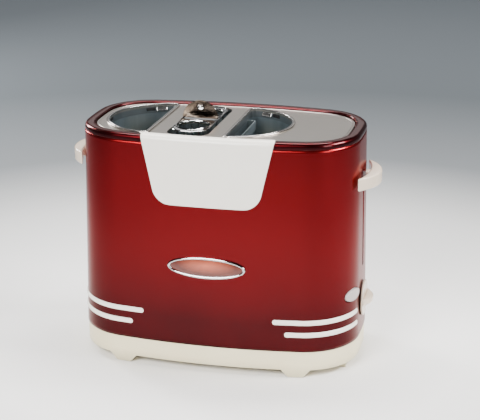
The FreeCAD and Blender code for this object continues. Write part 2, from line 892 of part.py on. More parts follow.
plate_inset = rim_inner + size.plate_gap
plate_sheet = disc(plate_low, plate_top, plate_inset)
plate_edge = ring(ledge_high, plate_low, plate_inset, plate_inset + size.sheet_wall)
lips = []
for side in (-1, 1):
    lip = well_column(side, plate_low, lip_top, size.lip_width)
    round_edges(lip, lip.Tip, size.lip_round,
                lambda edge, p: abs(p.z - lip_top.number) < 0.01)
    lips.append(lip)
well_flanges = [well_column(side, flange_low, plate_top, size.sheet_wall) for side in (-1, 1)]
cage_well = (size.cage_well_half_width, size.cage_well_half_length, size.cage_well_corner)
cage_flange_ring = cage_column(flange_low, plate_top, *(value + size.sheet_wall for value in cage_well))
well_holes = [well_column(side, flange_low - PAST, lip_top + PAST, 0) for side in (-1, 1)]
cage_hole = cage_column(flange_low - PAST, lip_top + PAST, *cage_well)
plate_solid = fuse(plate_sheet, plate_edge, cage_flange_ring, *lips, *well_flanges)
node("top_plate", cut(plate_solid, *well_holes, cage_hole))

# Well liners: D tubes from the chassis to the plate, slotted for the spine, windowed to the heaters

spine_gap = size.spine_slot / 2
window_low = chassis_top + size.window_low_margin
window_high = flange_low - size.window_high_margin


def windows(x0, x1):
    panes = []
    for number in (-1, 0, 1):
        middle = number * (size.guard_half_width - size.window_half_width)
        low = window_low if number else slot_top + size.window_sill
        panes.append(block(x0, x1, middle - size.window_half_width, middle + size.window_half_width,
                           low, window_high))
    return panes


def spine_opening(x0, x1):
    return block(x0, x1, -spine_gap, spine_gap, chassis_top, slot_top)


def from_to(first, second, side):
    """Two distances in rising order, where the first is the greater one on the left side."""
    return (first, second) if side > 0 else (second, first)


def well_flat(side):
    return size.flat_half_gap * side - size.group_middle


liner_out = size.liner_gap + size.liner_wall
guard_depth = size.guard_setback + size.liner_wall
guard_top = flange_low - size.play
guard_inner = size.guard_half_width - size.liner_wall
for name, side in (("left", -1), ("right", 1)):
    flat = well_flat(side)
    x0, x1 = from_to(flat - guard_depth * side, flat + size.guard_setback / 2 * side, side)
    slot_end = x1 if side < 0 else size.wall_distance
    tube = cut(well_column(side, chassis_top, liner_top, liner_out),
               well_column(side, chassis_top, liner_top, size.liner_gap),
               *windows(x0, x1), spine_opening(x0, slot_end))
    node(name + "_well_liner", tube)
    wall_side, face_side = flat - size.liner_gap * side, flat + guard_depth * side
    low, high = from_to(wall_side, face_side, side)
    inner_low, inner_high = from_to(wall_side - PAST * side, face_side - size.liner_wall * side, side)
    guard = cut(block(low, high, -size.guard_half_width, size.guard_half_width, chassis_top, guard_top),
                block(inner_low, inner_high, -guard_inner, guard_inner, chassis_top, guard_top),
                *windows(low - PAST, high + PAST), spine_opening(low - PAST, high + PAST))
    node(name + "_bun_guard", guard)

collar_low = spine_top + size.tab_radius * 4
collar_outer = (value + liner_out for value in cage_well)
collar_inner = (value + size.liner_gap for value in cage_well)
node("cage_well_collar", cut(cage_column(collar_low, liner_top, *collar_outer),
                             cage_column(collar_low, liner_top, *collar_inner)))

# Heaters: a mica board on each side of the cage well, each wound with flat ribbon

for name, side in (("left", -1), ("right", 1)):
    middle = size.heater_distance * side - size.group_middle
    half = size.heater_sheet / 2
    width = size.heater_half_width
    board = block(middle - half, middle + half, -width, width, chassis_top, size.heater_high)
    node(name + "_heater_board", cut(board, spine_opening(middle - half - PAST, middle + half + PAST)))
    turns = []
    step = (size.heater_high - slot_top - size.ribbon_margin * 2) / size.ribbon_rows
    for number in range(round(size.ribbon_rows.number)):
        low = slot_top + size.ribbon_margin + step * number
        high = low + size.ribbon_height
        outer = block(middle - half - size.ribbon_sheet, middle + half + size.ribbon_sheet,
                      -width - size.ribbon_sheet, width + size.ribbon_sheet, low, high)
        turns.append(cut(outer, block(middle - half, middle + half, -width, width, low, high)))
    node(name + "_heater_ribbon", group(*turns))

# Mechanism wall, guide rods and the bracket at their top

wall_far = size.wall_distance + size.chassis_sheet
wall_half = size.half_depth - size.wall_inset
wall_sheet = block(size.wall_distance, wall_far, -wall_half, wall_half, chassis_top, shell_top - size.play)
node("mechanism_wall", cut(wall_sheet, spine_opening(size.wall_distance - PAST, wall_far + PAST)))
rod_spots = [(rod_distance, size.rod_spacing * side) for side in (-1, 1)]
node("guide_rods", group(*[rod(x, y, chassis_top, size.rod_radius, size.rod_top - chassis_top)
                           for x, y in rod_spots]))
node("rod_bracket", block(wall_far, spring_distance + size.rod_bracket_lap, -size.bracket_half_width,
                          size.bracket_half_width, size.rod_top, size.rod_top + size.rod_bracket_height))

# Heat shield at the left end

node("left_heat_shield", block(-shield_distance - size.liner_wall, -shield_distance,
                               -size.shield_half_width, size.shield_half_width, chassis_top,
                               shell_top - size.play))

# Carriage: bracket on the rods, spine under the cage, lifters in the wells, stem and latch plate

bracket_far = bracket_distance + size.bracket_sheet
bracket_top = size.lever_height + size.stem_half_height + size.collar_margin
bracket_plate = block(bracket_distance, bracket_far, -size.bracket_half_width, size.bracket_half_width,
                      spine_low, bracket_top)
collar_radius = size.rod_radius + size.collar_wall
collars = []
bores = []
for x, y in rod_spots:
    for low in (spine_low + size.collar_margin, bracket_top - size.collar_height):
        collars.append(rod(x, y, low, collar_radius, size.collar_height))
        collars.append(block(bracket_far, x, y - size.collar_rib, y + size.collar_rib, low,
                             low + size.collar_height))
    bores.append(rod(x, y, spine_low, size.rod_radius + size.shaft_play, bracket_top - spine_low))
hook = block(bracket_distance, spring_distance + size.hook_half_width,
             size.spring_offset - size.hook_half_width, size.spring_offset + size.hook_half_width,
             size.hook_height - size.bracket_sheet, size.hook_height)
node("carriage_bracket", cut(fuse(bracket_plate, hook, *collars), *bores))
spine_left = -size.group_middle - size.flat_half_gap - size.spine_reach
spine_half = size.spine_thickness / 2
node("lift_spine", block(spine_left, bracket_distance, -spine_half, spine_half, spine_low, spine_top))
for name, side in (("left", -1), ("right", 1)):
    edge = well_flat(side) + (guard_depth + size.lifter_gap) * side
    low, high = from_to(edge - guard_depth * 2 * side, edge, side)
    lifter_top = spine_top + size.lifter_sheet
    holes = [rod(edge + size.lifter_hole_step * column * side, size.lifter_hole_row * row, spine_top,
                 size.lifter_hole, size.lifter_sheet)
             for column in (1, 2) for row in (-2, -1, 1, 2)]
    lifter = cut(well_column(side, spine_top, lifter_top, -size.lifter_gap),
                 block(low, high, -FAR, FAR, spine_top, lifter_top), *holes)
    node(name + "_bun_lifter", lifter)
stem_end = grip_inner + size.lap
stem_low = size.lever_height - size.stem_half_height
stem_high = size.lever_height + size.stem_half_height
node("lever_stem", block(bracket_far, stem_end, -size.stem_half_width, size.stem_half_width, stem_low,
                         stem_high))
magnet_top = chassis_top + size.spine_clearance + size.magnet_height
latch_low = magnet_top + size.magnet_gap + size.carriage_travel
latch_half = size.magnet_half_width - size.latch_inset
node("latch_plate", block(bracket_far, magnet_far, -latch_half, latch_half, latch_low,
                          latch_low + size.lifter_sheet))
magnet_box = block(magnet_near, magnet_far, -size.magnet_half_width, size.magnet_half_width,
                   chassis_top, magnet_top)
node("latch_magnet", magnet_box)

# Pull-up spring between the hook and the rod bracket

pull_spring = coil_spring(size.spring_radius, size.spring_wire, size.spring_turns,
                          size.rod_top - size.hook_height)
move_to(pull_spring, spring_distance, size.spring_offset, size.hook_height)
node("pull_up_spring", pull_spring)

# Sausage cage: a polished flange with two holes, wire baskets below and a tab handle on top

cage_middle = -size.group_middle
flange_plate = cage_column(cage_flange_low, cage_top, size.cage_half_width, size.cage_half_length,
                           size.cage_corner)
round_edges(flange_plate, flange_plate.Tip, size.cage_sheet / 2,
            lambda edge, p: abs(p.z - cage_top.number) < 0.01)
sausage_holes = [
    rod(cage_middle, size.sausage_spacing * side, cage_flange_low, size.sausage_radius, size.cage_sheet)
    for side in (-1, 1)
]
node("cage_flange", cut(flange_plate, *sausage_holes))


def hoop(y, z, radius, wire):
    item = doc.addObject("Part::Torus", "Hoop")
    bind(item, "Radius1", radius)
    bind(item, "Radius2", wire)
    move_to(item, cage_middle, y, z)
    return item


hoop_radius = size.sausage_radius + size.cage_wire + size.basket_gap
basket_floor = cage_low + size.hoop_wire
upright_reach = hoop_radius * math.sqrt(0.5)
baskets = []
for side in (-1, 1):
    y = size.sausage_spacing * side
    pieces = [
        hoop(y, basket_floor, hoop_radius, size.hoop_wire),
        hoop(y, basket_floor + size.basket_height, hoop_radius, size.hoop_wire),
        rod(cage_middle - hoop_radius, y, basket_floor, size.cage_wire, hoop_radius * 2, "x"),
        rod(cage_middle, y - hoop_radius, basket_floor, size.cage_wire, hoop_radius * 2, "y"),
    ]
    for x_side, y_side in ((-1, -1), (1, -1), (-1, 1), (1, 1)):
        pieces.append(rod(cage_middle + upright_reach * x_side, y + upright_reach * y_side, basket_floor,
                          size.cage_wire, cage_flange_low - basket_floor))
    baskets.append(fuse(*pieces))
tie = rod(cage_middle, -size.sausage_spacing + hoop_radius, basket_floor, size.cage_wire,
          (size.sausage_spacing - hoop_radius) * 2, "y")
node("cage_baskets", fuse(*baskets, tie))
half_tab = size.tab_thickness / 2
ring_face = half_tab + size.tab_ring_proud
eye_height = cage_top + size.tab_hole_height
tab_disc = rod(cage_middle, -half_tab, cage_top, size.tab_radius, size.tab_thickness, "y")
tab_eye = rod(cage_middle, -ring_face, eye_height, size.tab_hole + size.tab_ring, ring_face * 2, "y")
tab_bore = rod(cage_middle, -ring_face, eye_height, size.tab_hole, ring_face * 2, "y")
above_flange = block(-FAR, FAR, -ring_face, ring_face, cage_top, cage_top + size.tab_radius * 2)
node("cage_handle", cut(common(fuse(tab_disc, tab_eye), above_flange), tab_bore))

# Lever grip, its hub, and the matching fixed handle on the left end


def crescent(side, low):
    piece = body()
    profile = sketch(piece, "XY", low)
    draw_crescent(profile, side, grip_reach, grip_inner)
    pad(piece, profile, size.grip_height)
    near, far = from_to(term(0), FAR * side, side)
    ends = block(near, far, -size.grip_blunt, size.grip_blunt, low, low + size.grip_height)
    return common(piece, ends)


hub_near = grip_inner - size.hub_inside
hub = block(hub_near, grip_inner + size.hub_outside, -size.stem_half_width * 2, size.stem_half_width * 2,
            stem_low - size.hub_margin, stem_high + size.hub_margin)
stem_socket = block(hub_near, stem_end, -size.stem_half_width, size.stem_half_width, stem_low, stem_high)
grip_low = size.lever_height - size.grip_height / 2
node("lever_grip", cut(fuse(crescent(1, grip_low), hub), stem_socket))
handle_low = size.handle_height - size.grip_height / 2
handle_high = handle_low + size.grip_height
boss = block(-grip_inner - size.boss_lap, -size.half_length + size.boss_inside, -size.boss_half_width,
             size.boss_half_width, handle_low + size.hub_margin, handle_high - size.hub_margin)
bolt_start = -grip_inner
bolt_end = -size.half_length + lean_at(size.handle_height) + size.shell_wall + size.play
boss_holes = [rod(bolt_start, y, z, size.screw_shank, bolt_end - bolt_start, "x") for y, z in handle_bolts]
handle_solid = fuse(crescent(-1, handle_low), boss)
node("left_handle", cut(handle_solid, tower(shell_low, shell_top, 0), *boss_holes))
bolts = []
for y, z in handle_bolts:
    shank = rod(bolt_start, y, z, size.screw_shank, bolt_end - bolt_start, "x")
    bolts.append(fuse(shank, rod(bolt_end, y, z, size.screw_head, size.bolt_head_height, "x")))
node("handle_screws", group(*bolts))

# Browning dial: a disc with a half-round finger fin, on the shaft of a potentiometer

dial_back = size.half_length - lean_at(size.dial_height) + size.dial_gap
dial_face = dial_back + size.dial_thickness
fin_piece = body()
fin_profile = sketch(fin_piece, "XY", size.dial_height - size.fin_half_height)
fin_rise = size.fin_reach
fin_radius = (size.fin_half_width * size.fin_half_width + fin_rise * fin_rise) / (fin_rise * 2)
fin_middle = dial_face + fin_rise - fin_radius
fin_lean = math.asin(size.fin_half_width.number / fin_radius.number)
fin_ends = [Vector(dial_face.number, size.fin_half_width.number * side, 0) for side in (1, -1)]
fin_profile.addGeometry(arc(fin_middle.number, 0, fin_radius.number, -fin_lean, fin_lean), False)
fin_profile.addGeometry(Part.LineSegment(*fin_ends), False)
fin_profile.addConstraint(Fact("Coincident", 0, END, 1, START))
fin_profile.addConstraint(Fact("Coincident", 0, START, 1, END))
measure(fin_profile, "Radius", 0, fin_radius)
pin_point(fin_profile, 0, CENTRE, fin_middle, 0)
measure(fin_profile, "DistanceY", ORIGIN, START, 0, END, size.fin_half_width)
fin_profile.addConstraint(Fact("Vertical", 1))
fin_pad = pad(fin_piece, fin_profile, size.fin_half_height * 2)
round_edges(fin_piece, fin_pad, size.fin_round,
            lambda edge, p: p.x > (dial_face + size.fin_reach / 2).number and abs(p.y) < 1)
dial_disc = rod(dial_back, 0, size.dial_height, size.dial_radius, size.dial_thickness, "x")
shaft_end = dial_face - size.dial_skin
shaft_socket = rod(dial_back, 0, size.dial_height, size.shaft_radius, shaft_end - dial_back, "x")
node("browning_dial", cut(fuse(dial_disc, fin_piece), shaft_socket))
board_far = board_distance + size.board_sheet
pot_far = board_far + size.pot_length
shaft_start = board_far + size.shaft_gap
node("dial_shaft", rod(shaft_start, 0, size.dial_height, size.shaft_radius, shaft_end - shaft_start, "x"))
pot_body = rod(board_far, 0, size.dial_height, size.pot_radius, size.pot_length, "x")
pot_bore = rod(shaft_start - size.play, 0, size.dial_height, size.shaft_radius + size.shaft_play,
               pot_far - shaft_start + PAST, "x")
node("potentiometer", cut(pot_body, pot_bore))
node("circuit_board", block(board_distance, board_far, -size.board_half_width, size.board_half_width,
                            size.board_low, size.board_high))
bracket_half = size.board_half_width - size.bracket_inset
node("board_bracket", block(board_distance - size.chassis_sheet, board_distance, -bracket_half,
                            bracket_half, chassis_top, size.board_low + size.board_lap))
relay_low = size.relay_height - size.relay_half_width
relay = block(board_distance - size.relay_depth, board_distance,
              -size.relay_offset - size.relay_half_width, -size.relay_offset + size.relay_half_width,
              relay_low, relay_low + size.relay_half_width * 2)
capacitor = rod(board_distance - size.capacitor_depth, size.capacitor_offset, size.relay_height,
                size.capacitor_radius, size.capacitor_depth, "x")
chip = block(board_distance - size.chip_depth, board_distance,
             -size.chip_offset - size.chip_half_width, -size.chip_offset + size.chip_half_width,
             size.chip_height - size.chip_half_height, size.chip_height + size.chip_half_height)
node("board_parts", group(relay, capacitor, chip))

# Stop button: an oval plate on a stem, pushed out by a small spring on its post

face_radius = button_radius + size.button_proud
flange_face = button_radius - size.shell_wall - size.button_flange_gap
button_back = flange_face - size.button_sheet
face_limit = rod(0, 0, button_low, face_radius, size.button_half_height * 2)
key = common(oval_bar(button_back, FAR, 0), face_limit)
flange_bar = oval_bar(button_back, flange_face, size.button_flange)
stem_back = button_back - size.button_stem_length
key_stem = rod(stem_back, 0, size.button_height, size.button_stem, size.button_stem_length, "x")
node("stop_button", in_corner(fuse(key, flange_bar, key_stem)))
post_far = button_back - size.button_spring_gap
post_near = post_far - size.post_sheet
stem_bore = size.button_stem + size.play
post = block(post_near, post_far, -size.post_half_width, size.post_half_width, chassis_top,
             size.button_height + size.post_margin)
post_hole = rod(post_near, 0, size.button_height, stem_bore, size.post_sheet, "x")
node("button_post", in_corner(cut(post, post_hole)))
switch_half = size.switch_half_width
switch_box = block(post_near - size.switch_depth, post_near, -switch_half, switch_half,
                   size.button_height - switch_half, size.button_height + switch_half)
switch_bore = rod(post_near - size.switch_bore_depth, 0, size.button_height, stem_bore,
                  size.switch_bore_depth, "x")
node("stop_switch", in_corner(cut(switch_box, switch_bore)))
button_spring = coil_spring(size.button_spring_radius, size.button_spring_wire, size.button_spring_turns,
                            button_back - post_far - size.button_travel - size.button_spring_seat)
button_spring.Placement = Placement(Vector(), Rotation(Vector(0, 1, 0), 90))
move_to(button_spring, post_far, 0, size.button_height)
node("button_spring", in_corner(group(button_spring)))

# Cream trim strips that wrap the lower shell, with round ends


def side_prism(start, low, toward):
    """Everything beyond a round-ended line across the front and back, seen along Y."""
    half = size.trim_height / 2
    near, far = from_to(start + half * toward, FAR * toward, toward)
    bar = block(near, far, -FAR, FAR, low, low + size.trim_height)
    end = rod(start + half * toward, -FAR, low + half, half, FAR * 2, "y")
    return fuse(bar, end)


def end_prism(start, low, toward):
    """Everything beyond a round-ended line across the right end, seen along X."""
    half = size.trim_height / 2
    near, far = from_to(start + half * toward, FAR * toward, toward)
    bar = block(0, FAR, near, far, low, low + size.trim_height)
    end = rod(0, start + half * toward, low + half, half, FAR, "x")
    return fuse(bar, end)


for name, middle, start in (("upper", size.trim_upper, size.trim_upper_start),
                            ("lower", size.trim_lower, size.trim_lower_start)):
    low = middle - size.trim_height / 2
    high = low + size.trim_height
    for label, prisms in (
        ("left", [side_prism(-start, low, -1)]),
        ("front", [side_prism(start, low, 1), end_prism(-size.trim_right_end, low, -1)]),
        ("rear", [side_prism(start, low, 1), end_prism(size.trim_right_end, low, 1)]),
    ):
        band = cut(tower(low, high, size.trim_proud), tower(low, high, 0))
        node("%s_trim_%s" % (name, label), common(band, *prisms))

# Badge plate: a tapered cream plate on the front that folds over the rim

badge_bottom = size.badge_low - size.badge_corner
fold_round = size.rim_round + size.badge_proud


def badge_form(grow, rounding):
    piece = body()
    lower = draw_outline(sketch(piece, "XY", badge_bottom), lean_at(badge_bottom) - grow)
    upper = draw_outline(sketch(piece, "XY", rim_low), size.taper - grow)
    loft = piece.newObject("PartDesign::AdditiveLoft", "Loft")
    loft.Profile = lower
    loft.Sections = [upper]
    loft.Ruled = True
    top = pad(piece, draw_outline(sketch(piece, "XY", rim_low), size.taper - grow), size.rim_height + grow)
    round_edges(piece, top, rounding, lambda edge, p: abs(p.z - (rim_top + grow).number) < 0.01)
    return piece


badge_top = rim_top + size.badge_corner
badge_prism = body()
badge_profile = sketch(badge_prism, "XZ", size.half_depth - size.taper - size.badge_fold)
badge_slope = (size.badge_half_top - size.badge_half_low) / (rim_top - size.badge_low)
half_at_top = size.badge_half_low + badge_slope * (badge_top - size.badge_low)
draw_polygon(badge_profile, [
    (-size.badge_half_low, size.badge_low),
    (size.badge_half_low, size.badge_low),
    (half_at_top, badge_top),
    (-half_at_top, badge_top),
])
badge_pad = pad(badge_prism, badge_profile, size.badge_half_low)
round_edges(badge_prism, badge_pad, size.badge_corner,
            lambda edge, p: abs(p.z - size.badge_low.number) < 0.01 and abs(edge.tangentAt(0).y) > 0.99)
node("badge_plate", cut(common(badge_form(size.badge_proud, fold_round), badge_prism),
                        badge_form(term(0), size.rim_round)))

# Oval ornament on the lower front: a chrome border round an enamel centre


def front_oval(half_width, half_height):
    oval = doc.addObject("Part::Ellipse", "Oval")
    bind(oval, "MajorRadius", half_width)
    bind(oval, "MinorRadius", half_height)
    oval.Placement = Placement(Vector(), Rotation(Vector(1, 0, 0), 90))
    move_to(oval, 0, 0, size.ornament_height)
    bar = doc.addObject("Part::Extrusion", "Bar")
    bar.Base = oval
    bar.DirMode = "Custom"
    bar.Dir = Vector(0, -1, 0)
    bar.Solid = True
    bind(bar, "LengthFwd", size.half_depth * 2)
    return bar


ornament_low = size.ornament_height - size.ornament_half_height - size.ornament_margin
ornament_high = size.ornament_height + size.ornament_half_height + size.ornament_margin
inner_oval = [size.ornament_half_width - size.ornament_border,
              size.ornament_half_height - size.ornament_border]


def front_skin(proud):
    return cut(tower(ornament_low, ornament_high, proud), tower(ornament_low, ornament_high, 0))


outer_oval = front_oval(size.ornament_half_width, size.ornament_half_height)
ornament_solid = common(front_skin(size.ornament_proud), outer_oval)
node("ornament_frame", cut(ornament_solid, front_oval(*inner_oval)))
node("ornament_enamel", common(front_skin(size.enamel_proud), front_oval(*inner_oval)))

# Check every object, then write one file for each node

doc.recompute()
for item in doc.Objects:
    if "Invalid" in item.State or "Error" in item.State:
        raise RuntimeError("%s failed: %s" % (item.Name, item.State))
for label, item in nodes.items():
    shape = item.Shape
    if shape.isNull() or not shape.isValid() or not shape.Solids:
        raise RuntimeError("%s has no valid solid" % label)
for label, item in nodes.items():
    item.Shape.exportStep("parts/%s.step" % label)
    print("%-22s %2d solid %9.0f mm3" % (label, len(item.Shape.Solids), item.Shape.Volume))
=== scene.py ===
import bpy
import numpy as np
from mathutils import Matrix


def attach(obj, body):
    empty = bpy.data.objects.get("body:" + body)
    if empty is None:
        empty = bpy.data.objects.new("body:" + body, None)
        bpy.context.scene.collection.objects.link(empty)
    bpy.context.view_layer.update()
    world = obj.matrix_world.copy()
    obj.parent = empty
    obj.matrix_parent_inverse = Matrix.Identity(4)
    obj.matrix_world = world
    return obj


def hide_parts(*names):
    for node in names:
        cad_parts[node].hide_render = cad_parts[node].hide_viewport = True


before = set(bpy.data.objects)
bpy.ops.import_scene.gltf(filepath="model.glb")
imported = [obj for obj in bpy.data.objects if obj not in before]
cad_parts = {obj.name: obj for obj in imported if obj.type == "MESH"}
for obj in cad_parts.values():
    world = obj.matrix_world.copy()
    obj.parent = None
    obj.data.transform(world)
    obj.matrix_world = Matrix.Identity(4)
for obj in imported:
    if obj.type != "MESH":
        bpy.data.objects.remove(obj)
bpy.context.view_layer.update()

# Base skirt. One cream ABS moulding with four trapezoid feet, which carries all that stands above it.
# It comes from a polished mould, so it has a soft even sheen and slightly rounded edges. Its colour
# darkens towards the floor.


def colour(code):
    """Linear colour of an sRGB hex code."""
    value = np.array([int(code[i:i + 2], 16) for i in (1, 3, 5)]) / 255
    return (*np.where(value <= 0.04045, value / 12.92, ((value + 0.055) / 1.055) ** 2.4), 1.0)


def patterned_material(name):
    """A material with no shader yet, and the Object coordinates that its patterns read."""
    item = bpy.data.materials.new(name)
    item.use_nodes = True
    item.node_tree.nodes.clear()
    return item, add(item, "TexCoord", output="Object")


def add(material, kind, links=None, output=0, **settings):
    """Adds a shader node and gives back one output. Its inputs get numbers, hex colours or other outputs."""
    item = material.node_tree.nodes.new("ShaderNode" + kind)
    for name, value in settings.items():
        setattr(item, name, value)
    for name, value in (links or {}).items():
        if isinstance(value, bpy.types.NodeSocket):
            material.node_tree.links.new(value, item.inputs[name])
        else:
            item.inputs[name].default_value = colour(value) if isinstance(value, str) else value
    return item.outputs[output] if item.outputs else None


def surface(material, tones, sheen, others):
    """The shader of a material. A pattern mixes its two tones, and one sets its roughness between two."""
    sockets = {"Base Color": add(material, "MixRGB", dict(zip(("Fac", "Color1", "Color2"), tones))),
               "Roughness": add(material, "MapRange", dict(zip(("Value", "To Min", "To Max"), sheen)))}
    skin = add(material, "BsdfPrincipled", sockets | others)
    add(material, "OutputMaterial", {"Surface": skin})


def finish(material, *names):
    """Gives this material to CAD nodes."""
    for name in names:
        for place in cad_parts[name].material_slots:
            place.material = material


def per_metre(*millimetres):
    """Scale of a pattern that is so many millimetres wide, as one number or one for each axis."""
    scale = [1000 / width for width in millimetres]
    return scale if len(scale) > 1 else scale[0]


WELD_REACH = 0.00001


def soften(width, *names):
    """Rounds the sharp edges of CAD nodes, once their loose triangles are joined."""
    for name in names:
        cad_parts[name].modifiers.new("joined_faces", "WELD").merge_threshold = WELD_REACH
        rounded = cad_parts[name].modifiers.new("soft_edges", "BEVEL")
        rounded.width, rounded.segments = width, 2
        rounded.limit_method, rounded.angle_limit = "ANGLE", np.radians(40)
        rounded.harden_normals = True


# Moulded ABS: one cream colour, faintly clouded, with a fine grain in the sheen. Real grain is too
# fine to show, so it is drawn about 1 mm wide, here and on the other mouldings.
cream_abs, place = patterned_material("cream_abs_moulding")
cloud = add(cream_abs, "TexNoise", {"Vector": place, "Scale": per_metre(40), "Detail": 3.0})
grain = add(cream_abs, "TexNoise", {"Vector": place, "Scale": per_metre(1.1), "Detail": 2.0})
clean = add(cream_abs, "MixRGB", {"Fac": cloud, "Color1": "#EADCB2", "Color2": "#F3E8C6"})
height = add(cream_abs, "SeparateXYZ", {"Vector": place}, output="Z")
# The colour darkens to a grey-olive over the lowest 14 mm, towards the floor.
floor_darkening = add(cream_abs, "MapRange", {"Value": height, "From Min": 0.001, "From Max": 0.014, "To Min": 0.45,
                                    "To Max": 0.0})
surface(cream_abs, (floor_darkening, clean, "#8E8A78"), (grain, 0.30, 0.46),
        {"Normal": add(cream_abs, "Bump", {"Height": grain, "Strength": 0.06, "Distance": 0.0003}),
         "IOR": 1.53})
finish(cream_abs, "base_skirt")
soften(0.0005, "base_skirt")

# Rubber pads. Four round feet of black rubber, pressed into sockets of the skirt. They are dead matt
# and pick up pale dust, in specks of 2.4 mm.

rubber, place = patterned_material("black_rubber")
dust = add(rubber, "TexNoise", {"Vector": place, "Scale": per_metre(2.4), "Detail": 4.0})
surface(rubber, (dust, "#141414", "#3A3A38"), (dust, 0.7, 0.95), {"IOR": 1.52})
finish(rubber, "rubber_pads")

# Plated sheet parts. Bottom cover, rails, chassis, walls, brackets and shield are cut and bent from
# zinc-plated steel, screwed or tabbed together. The plating shows a soft spangle 6 mm wide.

zinc, place = patterned_material("zinc_plated_steel")
spangle = add(zinc, "TexVoronoi", {"Vector": place, "Scale": per_metre(6.25)}, output="Color")
rolled = add(zinc, "TexNoise", {"Vector": place, "Scale": per_metre(28.5), "Detail": 5.0})
surface(zinc, (rolled, "#9A9DA0", "#BCBFC1"), (spangle, 0.26, 0.48), {"Metallic": 1.0})
finish(zinc, "bottom_cover", "tray_rails", "chassis_frame", "mechanism_wall", "rod_bracket",
       "left_heat_shield", "carriage_bracket", "lift_spine", "lever_stem", "latch_plate", "board_bracket")

# Screws. Six hold the bottom cover and two the left handle. They are turned from bright steel, which
# leaves fine marks on their heads, drawn 0.67 mm wide to show.

screw_steel, place = patterned_material("bright_turned_steel")
turned = add(screw_steel, "TexNoise", {"Vector": place, "Scale": per_metre(0.67), "Detail": 2.0})
surface(screw_steel, (turned, "#A3A3A6", "#C6C6C8"), (turned, 0.2, 0.4), {"Metallic": 1.0})
finish(screw_steel, "bottom_screws", "handle_screws")

# Crumb tray. A folded pan of brushed steel that slides in from the back, with a curved back panel
# that closes the slot in the skirt. The brushing runs along it, in hairs drawn 1 mm apart to show.

tray_steel, place = patterned_material("brushed_tray_steel")
along = add(tray_steel, "Mapping", {"Vector": place, "Scale": per_metre(40, 1, 1)})
hairs = add(tray_steel, "TexNoise", {"Vector": along, "Scale": 1.0, "Detail": 3.0})
stain = add(tray_steel, "TexNoise", {"Vector": place, "Scale": per_metre(22), "Detail": 6.0})
worn = add(tray_steel, "MapRange", {"Value": stain, "From Min": 0.55, "From Max": 0.75, "To Max": 0.5})
plain = add(tray_steel, "MixRGB", {"Fac": hairs, "Color1": "#A9A9A8", "Color2": "#C9C9C8"})
surface(tray_steel, (worn, plain, "#8C7F6C"), (hairs, 0.25, 0.42), {"Metallic": 1.0})
finish(tray_steel, "crumb_tray")

# Black mouldings. The cord's gland, potentiometer, button post, switch, magnet block and board parts
# are glass-filled black nylon, pressed or clipped in. Its skin is matt, with a speckle of fibre ends
# drawn 0.83 mm wide to show.

black_nylon, place = patterned_material("black_nylon_moulding")
speckle = add(black_nylon, "TexNoise", {"Vector": place, "Scale": per_metre(0.83), "Detail": 2.0})
surface(black_nylon, (speckle, "#151516", "#2C2C2E"), (speckle, 0.4, 0.62), {"IOR": 1.53})
finish(black_nylon, "cord_gland", "potentiometer", "button_post", "stop_switch", "latch_magnet",
       "board_parts")

# Bun wells. Two D-shaped tubes of thin bright sheet with guards in front of the heaters, a collar
# round the cage and a lifter in each well. Rolled sheet, smooth and a little blue, with soft streaks
# down the wall and a straw-brown heat tint towards the windows.

liner_steel, place = patterned_material("rolled_liner_steel")
down = add(liner_steel, "Mapping", {"Vector": place, "Scale": per_metre(6.25, 6.25, 111)})
streak = add(liner_steel, "TexNoise", {"Vector": down, "Scale": 1.0, "Detail": 3.0})
heat = add(liner_steel, "TexNoise", {"Vector": place, "Scale": per_metre(55.5), "Detail": 4.0})
tint = add(liner_steel, "MapRange", {"Value": heat, "From Min": 0.5, "From Max": 0.8, "To Max": 0.45})
sheet = add(liner_steel, "MixRGB", {"Fac": streak, "Color1": "#A7B3B9", "Color2": "#C6D0D4"})
surface(liner_steel, (tint, sheet, "#9A8C70"), (streak, 0.26, 0.36), {"Metallic": 1.0})
finish(liner_steel, "left_well_liner", "right_well_liner", "left_bun_guard", "right_bun_guard",
       "cage_well_collar", "left_bun_lifter", "right_bun_lifter")

# Heaters. Flat resistance ribbon wound on boards of pressed mica, one on each side of the cage. Mica
# is pale and slightly shiny, with flakes of 4 mm; the ribbon is oxidised grey-brown.

mica, place = patterned_material("pressed_mica")
flake = add(mica, "TexVoronoi", {"Vector": place, "Scale": per_metre(3.85)}, output="Color")
surface(mica, (flake, "#A8966F", "#CDBE9C"), (flake, 0.35, 0.7), {"IOR": 1.58})
finish(mica, "left_heater_board", "right_heater_board")
ribbon, place = patterned_material("oxidised_heater_ribbon")
oxide = add(ribbon, "TexNoise", {"Vector": place, "Scale": per_metre(3.3), "Detail": 4.0})
surface(ribbon, (oxide, "#4A4440", "#7C6F64"), (oxide, 0.4, 0.6), {"Metallic": 1.0})
finish(ribbon, "left_heater_ribbon", "right_heater_ribbon")

# Rods, shaft and springs. Ground steel rods guide the carriage, wound spring wire pulls it up and
# pushes the stop button out. Grinding leaves fine rings round a rod, drawn 0.5 mm apart to show.

ground_steel, place = patterned_material("ground_steel")
around_rod = add(ground_steel, "Mapping", {"Vector": place, "Scale": per_metre(16.7, 16.7, 0.5)})
ground = add(ground_steel, "TexNoise", {"Vector": around_rod, "Scale": 1.0, "Detail": 2.0})
surface(ground_steel, (ground, "#B2B2B4", "#D0D0D2"), (ground, 0.1, 0.24), {"Metallic": 1.0})
finish(ground_steel, "guide_rods", "dial_shaft", "pull_up_spring", "button_spring")

# Circuit board. Green glass-epoxy laminate that stands behind the right end. Its copper tracks show
# as a lighter green net under the lacquer, about 3 mm apart.

